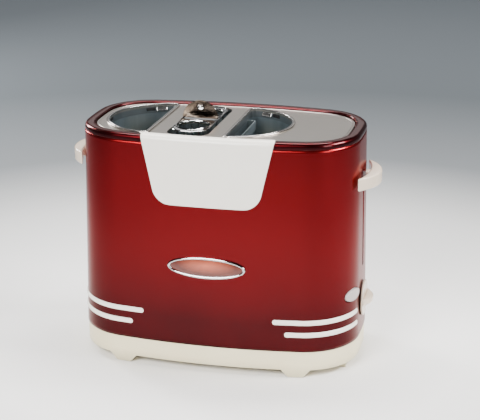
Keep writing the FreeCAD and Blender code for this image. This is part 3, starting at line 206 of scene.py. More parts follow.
laminate, place = patterned_material("green_board_laminate")
to_track = add(laminate, "TexVoronoi", {"Vector": place, "Scale": per_metre(3.1)},
               feature="DISTANCE_TO_EDGE")
copper = add(laminate, "MapRange", {"Value": to_track, "From Max": 0.12, "To Min": 1.0, "To Max": 0.0})
surface(laminate, (copper, "#14512E", "#3C8A50"), (copper, 0.45, 0.3), {"IOR": 1.55})
finish(laminate, "circuit_board")

# Outer shell. A deep-drawn steel skin 1.2 mm thick that leans in on its way up and stands in the
# groove of the base skirt, cut out for the lever, the dial's shaft and the stop button. It wears
# candy red: clear lacquer over a red metallic coat, with a fine sparkle.

SHELL_LOW, SHELL_TOP, LEAN = 0.0280, 0.2348, 0.0035
FRONT_RADIUS, CORNER_RADIUS, END_RADIUS = 0.626, 0.060, 0.444
HALF_LENGTH, HALF_DEPTH = 0.145, 0.084


def corner_place():
    """Centre of the corner arc: it touches the front arc and the end arc from inside."""
    front, end = FRONT_RADIUS - HALF_DEPTH, END_RADIUS - HALF_LENGTH
    from_front, from_end = FRONT_RADIUS - CORNER_RADIUS, END_RADIUS - CORNER_RADIUS
    apart = np.hypot(front, end)
    along = (from_front**2 - from_end**2 + apart**2) / (2 * apart)
    across = np.sqrt(from_front**2 - along**2)
    return (across * front - along * end) / apart, (along * front + across * end) / apart - front


CORNER_X, CORNER_Y = corner_place()
FRONT_TURN = np.arctan2(CORNER_X, CORNER_Y + FRONT_RADIUS - HALF_DEPTH)
END_TURN = np.arctan2(CORNER_X + END_RADIUS - HALF_LENGTH, CORNER_Y)
FRONT_RUN = FRONT_RADIUS * FRONT_TURN
CORNER_RUN = CORNER_RADIUS * (END_TURN - FRONT_TURN)
QUARTER = FRONT_RUN + CORNER_RUN + END_RADIUS * (np.pi / 2 - END_TURN)


def around(run):
    """Plan point and outward direction after a run along the outline from the middle of the front.

    A quarter is three arcs, of the front, the corner and the end. The others are its mirror images.
    """
    run = np.asarray(run, float) % (4 * QUARTER)
    quadrant = np.floor(run / QUARTER).astype(int)
    part = run - quadrant * QUARTER
    part = np.where(quadrant % 2 == 1, QUARTER - part, part)
    arc = [part < FRONT_RUN, part < FRONT_RUN + CORNER_RUN]
    turn = np.select(arc, [part / FRONT_RADIUS, FRONT_TURN + (part - FRONT_RUN) / CORNER_RADIUS],
                     END_TURN + (part - FRONT_RUN - CORNER_RUN) / END_RADIUS)
    radius = np.select(arc, [FRONT_RADIUS, CORNER_RADIUS], END_RADIUS)
    x0 = np.select(arc, [0, CORNER_X], HALF_LENGTH - END_RADIUS)
    y0 = np.select(arc, [FRONT_RADIUS - HALF_DEPTH, -CORNER_Y], 0)
    x_side = np.where(quadrant < 2, 1, -1)
    y_side = np.where((quadrant == 1) | (quadrant == 2), -1, 1)
    direction = np.stack([x_side * np.sin(turn), -y_side * np.cos(turn)], -1)
    return np.stack([x_side * x0, y_side * y0], -1) + radius[..., None] * direction, direction


def lean(z):
    """How far the shell has leaned in at a height: nothing at its foot, the whole at its top."""
    return LEAN * (z - SHELL_LOW) / (SHELL_TOP - SHELL_LOW)


def wrapped(run, proud, z):
    """Points at runs along the outline, distances outside it and heights."""
    run, proud, z = np.broadcast_arrays(run, proud, z)
    point, direction = around(run)
    return np.concatenate([point + direction * proud[..., None], z[..., None]], -1)


def grid_faces(rows, columns, close_rows=False, close_columns=False):
    """Corner numbers of the quads between the rows and columns of a grid of points."""
    row = np.arange(rows if close_rows else rows - 1)[:, None]
    column = np.arange(columns if close_columns else columns - 1)[None, :]
    next_row, next_column = (row + 1) % rows, (column + 1) % columns
    corners = [row * columns + column, next_row * columns + column,
               next_row * columns + next_column, row * columns + next_column]
    return np.stack(np.broadcast_arrays(*corners), -1).reshape(-1, 4)


def joined(*parts):
    """Several sets of points and faces as one set."""
    starts = np.cumsum([0] + [points.reshape(-1, 3).shape[0] for points, _ in parts])
    return (np.concatenate([points.reshape(-1, 3) for points, _ in parts]),
            np.concatenate([faces + start for (_, faces), start in zip(parts, starts)]))


def make(name, points, faces, body, slot, material, *replaced, sharp=40):
    """A mesh piece that rides on a body, wears a material and may stand for CAD nodes. Its slot is not used.

    Doubled points at seams and poles are joined, and edges that turn more than so many degrees stay sharp.
    """
    mesh = bpy.data.meshes.new(name)
    mesh.from_pydata(points.reshape(-1, 3).tolist(), [], faces.tolist())
    mesh.polygons.foreach_set("use_smooth", np.ones(len(mesh.polygons), bool))
    mesh.set_sharp_from_angle(angle=np.radians(sharp))
    mesh.materials.append(material)
    piece = bpy.data.objects.new(name, mesh)
    bpy.context.scene.collection.objects.link(piece)
    piece.modifiers.new("joined_seams", "WELD").merge_threshold = WELD_REACH
    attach(piece, body)
    if replaced:
        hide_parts(*replaced)
    return piece


def candy_lacquer(name, foot, top, gloss):
    """Clear lacquer over a red metallic coat, with painted shade that darkens it towards the foot.

    Sparkle flakes are far below a pixel, so they are drawn 0.625 mm wide to show as fine grain. The
    coat's flow shades it in patches of about 70 mm.
    """
    lacquer, place = patterned_material(name)
    sparkle = add(lacquer, "TexVoronoi", {"Vector": place, "Scale": per_metre(0.625)}, output="Color")
    flow = add(lacquer, "TexNoise", {"Vector": place, "Scale": per_metre(71.5), "Detail": 2.0})
    height = add(lacquer, "SeparateXYZ", {"Vector": place}, output="Z")
    # Painted shade: the coat's red darkens from the top colour at 0.2 m to the foot colour at 0.055 m.
    depth = add(lacquer, "MapRange", {"Value": height, "From Min": 0.055, "From Max": 0.2})
    coat = add(lacquer, "MixRGB", {"Fac": depth, "Color1": foot, "Color2": top})
    deep = add(lacquer, "MixRGB", {"Fac": add(lacquer, "MapRange", {"Value": flow, "To Max": 0.12}),
                                   "Color1": coat, "Color2": "#A0141A"})
    skin = add(lacquer, "BsdfPrincipled", {
        "Base Color": add(lacquer, "MixRGB", {
            "Fac": add(lacquer, "MapRange", {"Value": sparkle, "To Max": 0.05}),
            "Color1": deep, "Color2": "#B03035"}),
        "Roughness": add(lacquer, "MapRange", {"Value": sparkle, "To Min": 0.25, "To Max": 0.27}),
        "Normal": add(lacquer, "Bump", {"Height": flow, "Strength": 0.05, "Distance": 0.002}),
        "Metallic": 0.97, "Specular Tint": "#F6DEDB", "Coat Weight": gloss, "Coat Roughness": 0.03})
    add(lacquer, "OutputMaterial", {"Surface": skin})
    return lacquer


# Painted shade: the shell's red is painted darker towards its foot.
candy_red = candy_lacquer("candy_red_metallic_lacquer", "#1E0306", "#8C171C", 0.12)
SHELL_COLUMNS, SHELL_ROWS, SHELL_WALL = 520, 70, 0.0012
LEVER_SLOT_HALF, LEVER_SLOT_LOW, LEVER_SLOT_TOP = 0.0032, 0.0990, 0.1990
SHAFT_HOLE_HALF, DIAL_HEIGHT = 0.0042, 0.0625
BUTTON_RUN, BUTTON_HEIGHT = FRONT_RUN + CORNER_RADIUS * (np.radians(70) - FRONT_TURN), 0.079
BUTTON_HALF_WIDTH, BUTTON_HALF_HEIGHT, BUTTON_PLAY = 0.0135, 0.0062, 0.0006
PATCH_HALF_WIDTH, PATCH_HALF_HEIGHT, PATCH_RINGS = 0.0170, 0.0090, 7

# Each opening goes from one run to another along the outline, and from one height to another.
openings = np.array([
    (QUARTER - LEVER_SLOT_HALF, QUARTER + LEVER_SLOT_HALF, LEVER_SLOT_LOW, LEVER_SLOT_TOP),
    (QUARTER - SHAFT_HOLE_HALF, QUARTER + SHAFT_HOLE_HALF, DIAL_HEIGHT - SHAFT_HOLE_HALF,
     DIAL_HEIGHT + SHAFT_HOLE_HALF),
    (BUTTON_RUN - PATCH_HALF_WIDTH, BUTTON_RUN + PATCH_HALF_WIDTH, BUTTON_HEIGHT - PATCH_HALF_HEIGHT,
     BUTTON_HEIGHT + PATCH_HALF_HEIGHT)])
even_run = np.linspace(0, 4 * QUARTER, SHELL_COLUMNS, endpoint=False)
shell_run = np.unique(np.concatenate([even_run, openings[:, :2].ravel()]))
shell_z = np.unique(np.concatenate([np.linspace(SHELL_LOW, SHELL_TOP, SHELL_ROWS), openings[:, 2:].ravel()]))
shell_faces = grid_faces(len(shell_run), len(shell_z), close_rows=True)
row, column = shell_faces[:, 0] // len(shell_z), shell_faces[:, 0] % len(shell_z)
run_there, z_there = (shell_run[row] + 1e-6)[:, None], (shell_z[column] + 1e-6)[:, None]
cut_out = ((run_there > openings[:, 0]) & (run_there < openings[:, 1])
           & (z_there > openings[:, 2]) & (z_there < openings[:, 3])).any(1)

# The skin round the button runs from the grid in to the rim of its oval hole, ring by ring.
u = shell_run[(shell_run >= openings[2, 0]) & (shell_run <= openings[2, 1])]
w = shell_z[(shell_z >= openings[2, 2]) & (shell_z <= openings[2, 3])]
edge_u = np.concatenate([u, np.full(len(w) - 1, u[-1]), u[-2::-1], np.full(len(w) - 2, u[0])])
edge_z = np.concatenate([np.full(len(u), w[0]), w[1:], np.full(len(u) - 1, w[-1]), w[-2:0:-1]])
bearing = np.arctan2((edge_z - BUTTON_HEIGHT) / PATCH_HALF_HEIGHT, (edge_u - BUTTON_RUN) / PATCH_HALF_WIDTH)
share = np.linspace(0, 1, PATCH_RINGS)[:, None]
oval_u = BUTTON_RUN + (BUTTON_HALF_WIDTH + BUTTON_PLAY) * np.cos(bearing)
oval_z = BUTTON_HEIGHT + (BUTTON_HALF_HEIGHT + BUTTON_PLAY) * np.sin(bearing)
patch_u, patch_z = edge_u + (oval_u - edge_u) * share, edge_z + (oval_z - edge_z) * share
skin_points, skin_faces = joined(
    (wrapped(shell_run[:, None], -lean(shell_z), shell_z), shell_faces[~cut_out]),
    (wrapped(patch_u, -lean(patch_z), patch_z),
     grid_faces(PATCH_RINGS, len(bearing), close_columns=True)[:, ::-1]))
outer_skin = make("outer_shell_skin", skin_points, skin_faces, "housing", "red_paint", candy_red,
                  "outer_shell")
wall = outer_skin.modifiers.new("sheet", "SOLIDIFY")
wall.thickness, wall.offset = SHELL_WALL, -1

# Top rim. A rounded bead of the same steel, rolled over the top edge of the shell, with a ledge inside
# that the top plate lies on. Its red is painted deeper as painted shade, and its lacquer is glossier.

RIM_LOW, RIM_TOP, RIM_WIDTH, RIM_COLUMNS = 0.2350, 0.2415, 0.0105, 400
RIM_FOOT, RIM_ROUND, RIM_INNER_ROUND = 0.0004, 0.0042, 0.0016
LEDGE_TOP, LEDGE_LOW, LEDGE_INSET, RIM_BACK_INSET = 0.2372, 0.2360, 0.0169, 0.0105


def quarter_round(proud, z, radius, start):
    """Points of a quarter circle about a centre, from a bearing onwards."""
    bearing = start + np.linspace(0, np.pi / 2, 9)
    return np.stack([proud + radius * np.cos(bearing), z + radius * np.sin(bearing)], -1)


rim_profile = np.concatenate([
    quarter_round(-LEAN - RIM_FOOT, RIM_LOW + RIM_FOOT, RIM_FOOT, -np.pi / 2),
    quarter_round(-LEAN - RIM_ROUND, RIM_TOP - RIM_ROUND, RIM_ROUND, 0),
    quarter_round(-LEAN - RIM_WIDTH + RIM_INNER_ROUND, RIM_TOP - RIM_INNER_ROUND, RIM_INNER_ROUND,
                  np.pi / 2),
    [(-LEAN - RIM_WIDTH, LEDGE_TOP), (-LEDGE_INSET, LEDGE_TOP), (-LEDGE_INSET, LEDGE_LOW),
     (-RIM_BACK_INSET, LEDGE_LOW), (-RIM_BACK_INSET, RIM_LOW)]])
rim_run = np.linspace(0, 4 * QUARTER, RIM_COLUMNS, endpoint=False)
# Painted shade: the bead wears a darker copy of the lacquer.
shaded_bead_red = candy_lacquer("shaded_candy_red_lacquer", "#33050A", "#33050A", 0.36)
make("top_rim_bead", wrapped(rim_run[:, None], *rim_profile.T),
     grid_faces(RIM_COLUMNS, len(rim_profile), close_rows=True, close_columns=True), "housing",
     "red_paint", shaded_bead_red, "top_rim")

# Top plate. Satin brushed stainless steel with a polished lip round each bun well and a rolled edge,
# which lies on the ledge of the rim. The brushing runs along the toaster, in hairs drawn 0.8 mm apart
# to show.

POLISH_FROM, POLISH_FULL, WELL_SHADE_FROM, WELL_SHADE_FULL = 0.2396, 0.2402, 0.2384, 0.2370
ROLL_INSET, ROLL_HALF_WIDTH, ROLL_HEIGHT, ROLL_HALF_HEIGHT = 0.0178, 0.0007, 0.2391, 0.0006
ROLL_POINTS = 16
satin_steel, place = patterned_material("satin_brushed_stainless")
along = add(satin_steel, "Mapping", {"Vector": place, "Scale": per_metre(50, 0.8, 0.8)})
hairs = add(satin_steel, "TexNoise", {"Vector": along, "Scale": 1.0, "Detail": 4.0})
haze = add(satin_steel, "TexNoise", {"Vector": place, "Scale": per_metre(83.3), "Detail": 3.0})
bright = add(satin_steel, "MixRGB", {"Fac": hairs, "Color1": "#B9B1A8", "Color2": "#D3CCC4"})
hazy = add(satin_steel, "MapRange", {"Value": haze, "To Max": 0.25})
flat = add(satin_steel, "MixRGB", {"Fac": hazy, "Color1": bright, "Color2": "#A8A097"})
height = add(satin_steel, "SeparateXYZ", {"Vector": place}, output="Z")
on_lip = add(satin_steel, "MapRange", {"Value": height, "From Min": POLISH_FROM, "From Max": POLISH_FULL})
# Painted shade: the edge that turns down into the wells is painted a darker grey.
painted_well_shade = add(satin_steel, "MapRange", {"Value": height, "From Min": WELL_SHADE_FROM, "From Max": WELL_SHADE_FULL})
brushed = add(satin_steel, "MapRange", {"Value": hairs, "To Min": 0.26, "To Max": 0.38})
skin = add(satin_steel, "BsdfPrincipled", {
    "Base Color": add(satin_steel, "MixRGB", {"Fac": painted_well_shade, "Color1": flat, "Color2": "#9AA0A3"}),
    "Roughness": add(satin_steel, "MixRGB", {"Fac": on_lip, "Color1": brushed,
                                             "Color2": (0.14, 0.14, 0.14, 1.0)}),
    "Normal": add(satin_steel, "Bump", {"Height": hairs, "Strength": 0.12, "Distance": 0.0001}),
    "Metallic": 1.0})
add(satin_steel, "OutputMaterial", {"Surface": skin})
finish(satin_steel, "top_plate")
roll_bearing = np.linspace(0, 2 * np.pi, ROLL_POINTS, endpoint=False)
make("top_plate_edge_roll",
     wrapped(rim_run[:, None], -ROLL_INSET + ROLL_HALF_WIDTH * np.cos(roll_bearing),
             ROLL_HEIGHT + ROLL_HALF_HEIGHT * np.sin(roll_bearing)),
     grid_faces(RIM_COLUMNS, ROLL_POINTS, close_rows=True, close_columns=True), "housing", "brushed_top",
     satin_steel)

# Well mouths. A polished bead is rolled on the inner edge of each D, and hooks of bright sheet come
# through slots in the turned-down edge below it. Black patches in the slots beside them are painted shade.

WELL_RADIUS, WELL_CORNER, WELL_FLAT = 0.0617, 0.0050, 0.0062
WELL_CENTRES = {"left": (-1, -0.0598), "right": (1, 0.0068)}
WELL_ARC_POINTS, WELL_CORNER_POINTS = 61, 16
BEAD_TOP, BEAD_ROUND, BEAD_INSET = 0.2412, 0.0007, 0.0004

# Each hook and each painted slot shade has two bearings in degrees and the height of its low edge.
HOOKS, HOOK_TOP, HOOK_INSETS = [(61, 72, 0.2338), (-72, -61, 0.2338)], 0.2378, (0.0030, 0.0006)
SLOT_SHADES, SLOT_SHADE_TOP = [(51, 60, 0.2338), (-60, -51, 0.2338), (-3, 3, 0.2343)], 0.2374
SLOT_SHADE_INSETS, WELL_SHEET = (0.0005, 0.0005), 0.0004


def well_mouth(side, centre, inset, z):
    """Rings of a D inset from the well's edge: a large arc, two corner arcs and the flat between them."""
    corner_x = WELL_FLAT + WELL_CORNER
    corner_y = np.sqrt((WELL_RADIUS - WELL_CORNER)**2 - corner_x**2)
    turn = np.arctan2(corner_y, corner_x)
    bearing = np.concatenate([np.linspace(-turn, turn, WELL_ARC_POINTS),
                              np.linspace(turn, np.pi, WELL_CORNER_POINTS + 1)[1:],
                              np.linspace(-np.pi, -turn, WELL_CORNER_POINTS + 1)[:-1]])[:, None]
    part = np.repeat([0, 1, 2], [WELL_ARC_POINTS, WELL_CORNER_POINTS, WELL_CORNER_POINTS])[:, None]
    reach = np.where(part == 0, WELL_RADIUS, WELL_CORNER) - inset
    x = np.where(part == 0, 0, corner_x) + reach * np.cos(bearing)
    y = np.array([0, corner_y, -corner_y])[part] + reach * np.sin(bearing)
    return np.stack([centre + side * x, y, z + 0 * x], -1)


def wall_patches(side, centre, places, insets, top):
    """Curved patches on the well's arc, each between two bearings and from its low edge up to the top.

    The first inset holds at the low edge and the second at the top, with a straight slope between.
    """
    patches = []
    for start, end, low in places:
        bearing, z = np.radians(np.linspace(start, end, 13))[:, None], np.linspace(low, top, 5)
        reach = WELL_RADIUS - np.linspace(*insets, 5)
        x, y = centre + side * reach * np.cos(bearing), reach * np.sin(bearing)
        patches.append((np.stack([x, y, z + 0 * bearing], -1), grid_faces(13, 5)[:, ::-side]))
    return joined(*patches)


# The beads and hooks are buffed, which leaves soft rub marks 3 mm wide.
polished, place = patterned_material("polished_stainless")
rubbed = add(polished, "TexNoise", {"Vector": place, "Scale": per_metre(3.3), "Detail": 4.0})
surface(polished, (rubbed, "#B4B2AF", "#CDCBC8"), (rubbed, 0.16, 0.28), {"Metallic": 1.0})

# Painted shade: the slots are filled with black patches, matt and mottled 2 mm wide.
slot_shade_black, place = patterned_material("painted_slot_shade")
scale = add(slot_shade_black, "TexNoise", {"Vector": place, "Scale": per_metre(2), "Detail": 4.0})
surface(slot_shade_black, (scale, "#030303", "#0C0B0B"), (scale, 0.6, 0.9), {"IOR": 1.4})
for name, (side, centre) in WELL_CENTRES.items():
    bead_inset = BEAD_INSET + BEAD_ROUND * np.cos(roll_bearing)
    bead_z = BEAD_TOP - BEAD_ROUND + BEAD_ROUND * np.sin(roll_bearing)
    bead_faces = grid_faces(WELL_ARC_POINTS + 2 * WELL_CORNER_POINTS, ROLL_POINTS, close_rows=True,
                            close_columns=True)
    make(f"{name}_well_mouth_bead", well_mouth(side, centre, bead_inset, bead_z), bead_faces[:, ::-side],
         "housing", "brushed_top", polished)
    hooks = make(f"{name}_well_hooks", *wall_patches(side, centre, HOOKS, HOOK_INSETS, HOOK_TOP),
                 "housing", "brushed_top", polished)
    slot_shades = make(f"{name}_well_slot_shades", *wall_patches(side, centre, SLOT_SHADES, SLOT_SHADE_INSETS, SLOT_SHADE_TOP),
                 "housing", "brushed_top", slot_shade_black)
    for sheet_piece in (hooks, slot_shades):
        sheet = sheet_piece.modifiers.new("sheet", "SOLIDIFY")
        sheet.thickness, sheet.offset = WELL_SHEET, -1

# Sausage cage. A stamped flange with two round holes, wire baskets welded under it and a tab to lift
# it by, all chrome plated. The flange is dished between a raised border and the rolled edges of the
# holes, which catch the light. The tab is a darker brown, in clouds 14 mm wide.

chrome, place = patterned_material("chrome_plate")
smear = add(chrome, "TexNoise", {"Vector": place, "Scale": per_metre(14.3), "Detail": 5.0})
surface(chrome, (smear, "#C4C3C2", "#DDDCDB"), (smear, 0.04, 0.16), {"Metallic": 1.0})
finish(chrome, "cage_baskets")
CAGE_MIDDLE, CAGE_TOP, HOLE_RADIUS, HOLE_SPACING = -0.0265, 0.2422, 0.0165, 0.027
CAGE_HALF_WIDTH, CAGE_HALF_LENGTH, CAGE_CORNER = 0.0192, 0.0545, 0.0170
DISH_DEPTH, ROLL_RISE, TURNED_DOWN, FLANGE_SHEET = 0.0009, 0.0011, 0.0025, 0.0007
BORDER_ROLL_INSET, BORDER_ROLL_WIDTH, HOLE_ROLL_OUTSET, HOLE_ROLL_WIDTH = 0.0009, 0.0008, 0.0010, 0.0009


def flange_reach(bearing):
    """Distance from a hole's centre to the border of its half: a side, an end or a corner arc."""
    across, along = np.cos(bearing), np.sin(bearing)
    end_distance = CAGE_HALF_LENGTH - HOLE_SPACING
    straight = np.minimum(CAGE_HALF_WIDTH / np.maximum(np.abs(across), 1e-9),
                          np.where(along > 0, end_distance, HOLE_SPACING) / np.maximum(np.abs(along), 1e-9))
    centre_x, centre_y = np.sign(across) * (CAGE_HALF_WIDTH - CAGE_CORNER), end_distance - CAGE_CORNER
    toward = centre_x * across + centre_y * along
    round_reach = toward + np.sqrt(np.maximum(toward**2 - centre_x**2 - centre_y**2 + CAGE_CORNER**2, 0))
    in_corner = (np.abs(round_reach * across) > np.abs(centre_x)) & (round_reach * along > centre_y)
    return np.where(in_corner, round_reach, straight)


def flange_height(x, y):
    """A flat dish with a bell-shaped roll just inside the border and another just outside each hole."""
    from_sides = np.stack([CAGE_HALF_WIDTH - np.abs(x), CAGE_HALF_LENGTH - np.abs(y)])
    beyond = np.maximum(CAGE_CORNER - from_sides, 0)
    from_border = np.where(beyond.min(0) > 0, CAGE_CORNER - np.hypot(*beyond), from_sides.min(0))
    from_hole = np.hypot(x, np.abs(y) - HOLE_SPACING) - HOLE_RADIUS
    border_roll = np.exp(-((from_border - BORDER_ROLL_INSET) / BORDER_ROLL_WIDTH) ** 2)
    hole_roll = np.exp(-((from_hole - HOLE_ROLL_OUTSET) / HOLE_ROLL_WIDTH) ** 2)
    return CAGE_TOP - DISH_DEPTH + ROLL_RISE * np.maximum(border_roll, hole_roll)


def half_flange(side):
    """Rings from the border of half a flange to the edge of its hole, and one ring turned down in it."""
    corner = np.arctan2(-HOLE_SPACING, CAGE_HALF_WIDTH)
    bearing = np.unique(np.concatenate([np.linspace(-np.pi, np.pi, 145)[:-1], [corner, -np.pi - corner]]))
    share = np.sin(np.linspace(0, np.pi / 2, 15))[:, None] ** 2
    reach = flange_reach(bearing) + (HOLE_RADIUS - flange_reach(bearing)) * share
    reach = np.concatenate([reach, reach[-1:]])
    x, y = reach * np.cos(bearing), reach * np.sin(bearing) + HOLE_SPACING
    z = flange_height(x, y)
    z[-1] -= TURNED_DOWN
    return (np.stack([CAGE_MIDDLE + x, side * y, z], -1),
            grid_faces(len(reach), len(bearing), close_columns=True)[:, ::-side])


flange = make("cage_flange_pressing", *joined(half_flange(1), half_flange(-1)), "cage", "cage_chrome",
              chrome, "cage_flange", sharp=60)
sheet = flange.modifiers.new("sheet", "SOLIDIFY")
sheet.thickness, sheet.offset = FLANGE_SHEET, -1

tab_steel, place = patterned_material("dark_brown_polished_steel")
brown_clouds = add(tab_steel, "TexNoise", {"Vector": place, "Scale": per_metre(14.3), "Detail": 2.0,
                                     "Distortion": 1.0})
brown_cloud_mask = add(tab_steel, "MapRange", {"Value": brown_clouds, "From Min": 0.4, "From Max": 0.65})
surface(tab_steel, (brown_cloud_mask, "#2E2620", "#6A6056"), (brown_clouds, 0.08, 0.25), {"Metallic": 1.0})
finish(tab_steel, "cage_handle")
soften(0.0004, "cage_handle")
EYE_RISE, EYE_RADIUS, EYELET_HALF_WIDTH, EYELET_HALF_DEPTH = 0.0115, 0.0037, 0.0005, 0.0010


def ring_about_y(centre, radius, half_width, half_depth, count=64):
    """Points of a ring: an oval of two half sizes, carried in a circle about the Y axis."""
    turn = np.linspace(0, 2 * np.pi, count, endpoint=False)[:, None]
    out, depth = radius + half_width * np.cos(roll_bearing), half_depth * np.sin(roll_bearing) + 0 * turn
    return (np.stack([out * np.sin(turn), depth, out * np.cos(turn)], -1) + centre,
            grid_faces(count, ROLL_POINTS, close_rows=True, close_columns=True))


make("cage_tab_eyelet",
     *ring_about_y((CAGE_MIDDLE, 0, CAGE_TOP + EYE_RISE), EYE_RADIUS, EYELET_HALF_WIDTH, EYELET_HALF_DEPTH),
     "cage", "cage_chrome", chrome)

# Lever grip and carrying handle. Two crescents of warm cream ABS with a satin gloss. The grip slides
# on the flat stem of the lever, and the handle is bolted to the left end.

warm_abs, place = patterned_material("warm_cream_abs_moulding")
cloud = add(warm_abs, "TexNoise", {"Vector": place, "Scale": per_metre(25), "Detail": 3.0})
grain = add(warm_abs, "TexNoise", {"Vector": place, "Scale": per_metre(0.91), "Detail": 2.0})
surface(warm_abs, (cloud, "#DAC6AF", "#E6D4BF"), (grain, 0.14, 0.22),
        {"Normal": add(warm_abs, "Bump", {"Height": grain, "Strength": 0.04, "Distance": 0.0003}),
         "IOR": 1.53, "Coat Weight": 0.5, "Coat Roughness": 0.05})
GRIP_INNER, GRIP_REACH, GRIP_TIP = 0.1485, 0.1605, 0.1412
GRIP_SPAN, GRIP_BLUNT, GRIP_HALF_HEIGHT = 0.0380, 0.0366, 0.0065
GRIP_TIP_ROUND, GRIP_EDGE_ROUND, GRIP_ROWS, SECTION_CORNER = 0.0018, 0.0019, 97, 10
SECTION_POINTS = 4 * SECTION_CORNER
LEVER_HEIGHT, HANDLE_HEIGHT = 0.1930, 0.2022


def rounded_section(half_width, half_height, radius):
    """Two offsets round a rectangle with round corners: each corner is a quarter circle."""
    corner = np.repeat(np.arange(4), SECTION_CORNER) * np.pi / 2
    bearing = corner + np.tile(np.linspace(0, np.pi / 2, SECTION_CORNER), 4)
    wide, tall = np.sign(np.cos(corner + np.pi / 4)), np.sign(np.sin(corner + np.pi / 4))
    half_width, half_height, radius = (np.asarray(size, float)[..., None]
                                       for size in (half_width, half_height, radius))
    return (wide * (half_width - radius) + radius * np.cos(bearing),
            tall * (half_height - radius) + radius * np.sin(bearing))


def bow(y, apex):
    """Distance along X of the arc that passes the apex at the middle and the tips at the span."""
    rise = apex - GRIP_TIP
    radius = (GRIP_SPAN**2 + rise**2) / (2 * rise)
    return apex - radius + np.sqrt(radius**2 - y**2)


def crescent(side, height):
    """A rounded section between the inner and the outer bow, carried from tip to tip. The tips round off."""
    y = GRIP_BLUNT * np.sin(np.linspace(-np.pi / 2, np.pi / 2, GRIP_ROWS))
    inner, outer = bow(y, GRIP_INNER), bow(y, GRIP_REACH)
    past = np.clip((np.abs(y) - GRIP_BLUNT + GRIP_TIP_ROUND) / GRIP_TIP_ROUND, 0, 1)
    narrow = np.sqrt(1 - past**2)
    half_width = (outer - inner) / 2 * narrow
    half_height = GRIP_HALF_HEIGHT - GRIP_TIP_ROUND * (1 - narrow)
    across, up = rounded_section(half_width, half_height, np.minimum(GRIP_EDGE_ROUND, half_width * 0.98))
    x = side * ((inner + outer)[:, None] / 2 + across)
    points = np.stack([x, np.broadcast_to(y[:, None], x.shape), height + up], -1)
    return points, grid_faces(GRIP_ROWS, SECTION_POINTS, close_columns=True)[:, ::-side]


def rounded_bar(x0, x1, half_width, height, half_height, radius):
    """A rounded section across Y and Z, carried along X and closed at both ends."""
    across, up = rounded_section(half_width, half_height, radius)
    x = np.array([x0, x0, x1, x1])[:, None] + 0 * across
    fill = np.array([0, 1, 1, 0])[:, None]
    return (np.stack([x, across * fill, height + up * fill], -1),
            grid_faces(4, SECTION_POINTS, close_columns=True))


lever_socket = rounded_bar(x0=0.1450, x1=0.1525, half_width=0.0050, height=LEVER_HEIGHT,
                           half_height=0.0055, radius=0.0012)
handle_foot = rounded_bar(x0=-0.1505, x1=-0.1412, half_width=0.0110, height=HANDLE_HEIGHT,
                          half_height=0.0050, radius=0.0015)
make("lever_grip_crescent", *joined(crescent(1, LEVER_HEIGHT), lever_socket),
     "carriage", "cream_plastic", warm_abs, "lever_grip", sharp=50)
make("left_handle_crescent", *joined(crescent(-1, HANDLE_HEIGHT), handle_foot),
     "housing", "cream_plastic", warm_abs, "left_handle", sharp=50)

# Browning dial. A round cream knob with a half-round finger fin, pushed on the shaft of the
# potentiometer. Its edge and fin are well rounded and its face is very slightly crowned.

DIAL_BACK, DIAL_FACE, DIAL_RADIUS, DIAL_EDGE, DIAL_CROWN = 0.1450, 0.1476, 0.0185, 0.0009, 0.0004
FIN_REACH, FIN_HALF_WIDTH, FIN_HALF_HEIGHT, FIN_SINK, FIN_ROUND = 0.0080, 0.0170, 0.0035, 0.0006, 0.0022
DIAL_SPOKES, FIN_ROWS = 96, 61

# The profile gives X and the distance from the axis, from the middle of the back to that of the face.
dial_profile = np.concatenate([
    [(DIAL_BACK, 0), (DIAL_BACK, DIAL_RADIUS - DIAL_EDGE / 2), (DIAL_BACK + DIAL_EDGE / 2, DIAL_RADIUS)],
    quarter_round(DIAL_FACE - DIAL_EDGE - DIAL_CROWN, DIAL_RADIUS - DIAL_EDGE, DIAL_EDGE, 0)[::-1],
    [(DIAL_FACE - DIAL_CROWN / 2, DIAL_RADIUS * 0.75), (DIAL_FACE - DIAL_CROWN / 4, DIAL_RADIUS / 2),
     (DIAL_FACE, 0)]])
turn = np.linspace(0, 2 * np.pi, DIAL_SPOKES, endpoint=False)[:, None]
dial_x, dial_r = dial_profile.T
dial_disc = np.stack([dial_x + 0 * turn, dial_r * np.sin(turn), DIAL_HEIGHT + dial_r * np.cos(turn)], -1)
fin_radius = (FIN_HALF_WIDTH**2 + FIN_REACH**2) / (2 * FIN_REACH)
fin_y = FIN_HALF_WIDTH * np.sin(np.linspace(-np.pi / 2, np.pi / 2, FIN_ROWS))
fin_rise = FIN_REACH - fin_radius + np.sqrt(fin_radius**2 - fin_y**2)
fin_half = (fin_rise + FIN_SINK) / 2
fin_out, fin_up = rounded_section(fin_half, np.full(FIN_ROWS, FIN_HALF_HEIGHT),
                                  np.minimum(FIN_ROUND, fin_half * 0.98))
fin_x = DIAL_FACE - FIN_SINK + fin_half[:, None] + fin_out
fin = np.stack([fin_x, fin_y[:, None] + 0 * fin_x, DIAL_HEIGHT + fin_up], -1)
dial_faces = grid_faces(DIAL_SPOKES, len(dial_profile), close_rows=True)[:, ::-1]
fin_faces = grid_faces(FIN_ROWS, SECTION_POINTS, close_columns=True)[:, ::-1]
make("browning_dial_knob", *joined((dial_disc, dial_faces), (fin, fin_faces)), "dial", "cream_plastic",
     warm_abs, "browning_dial", sharp=50)

# Stop button. A cream oval cap with a bright raised border, which rises from its hole in the corner
# of the shell. A flange behind the hole holds it in, and a stem pushes the switch.

button_abs, place = patterned_material("pale_grey_cream_abs")
cloud = add(button_abs, "TexNoise", {"Vector": place, "Scale": per_metre(16.7), "Detail": 3.0})
grain = add(button_abs, "TexNoise", {"Vector": place, "Scale": per_metre(1), "Detail": 2.0})
surface(button_abs, (cloud, "#B2A8A4", "#C2B8B4"), (grain, 0.26, 0.4), {"IOR": 1.53})


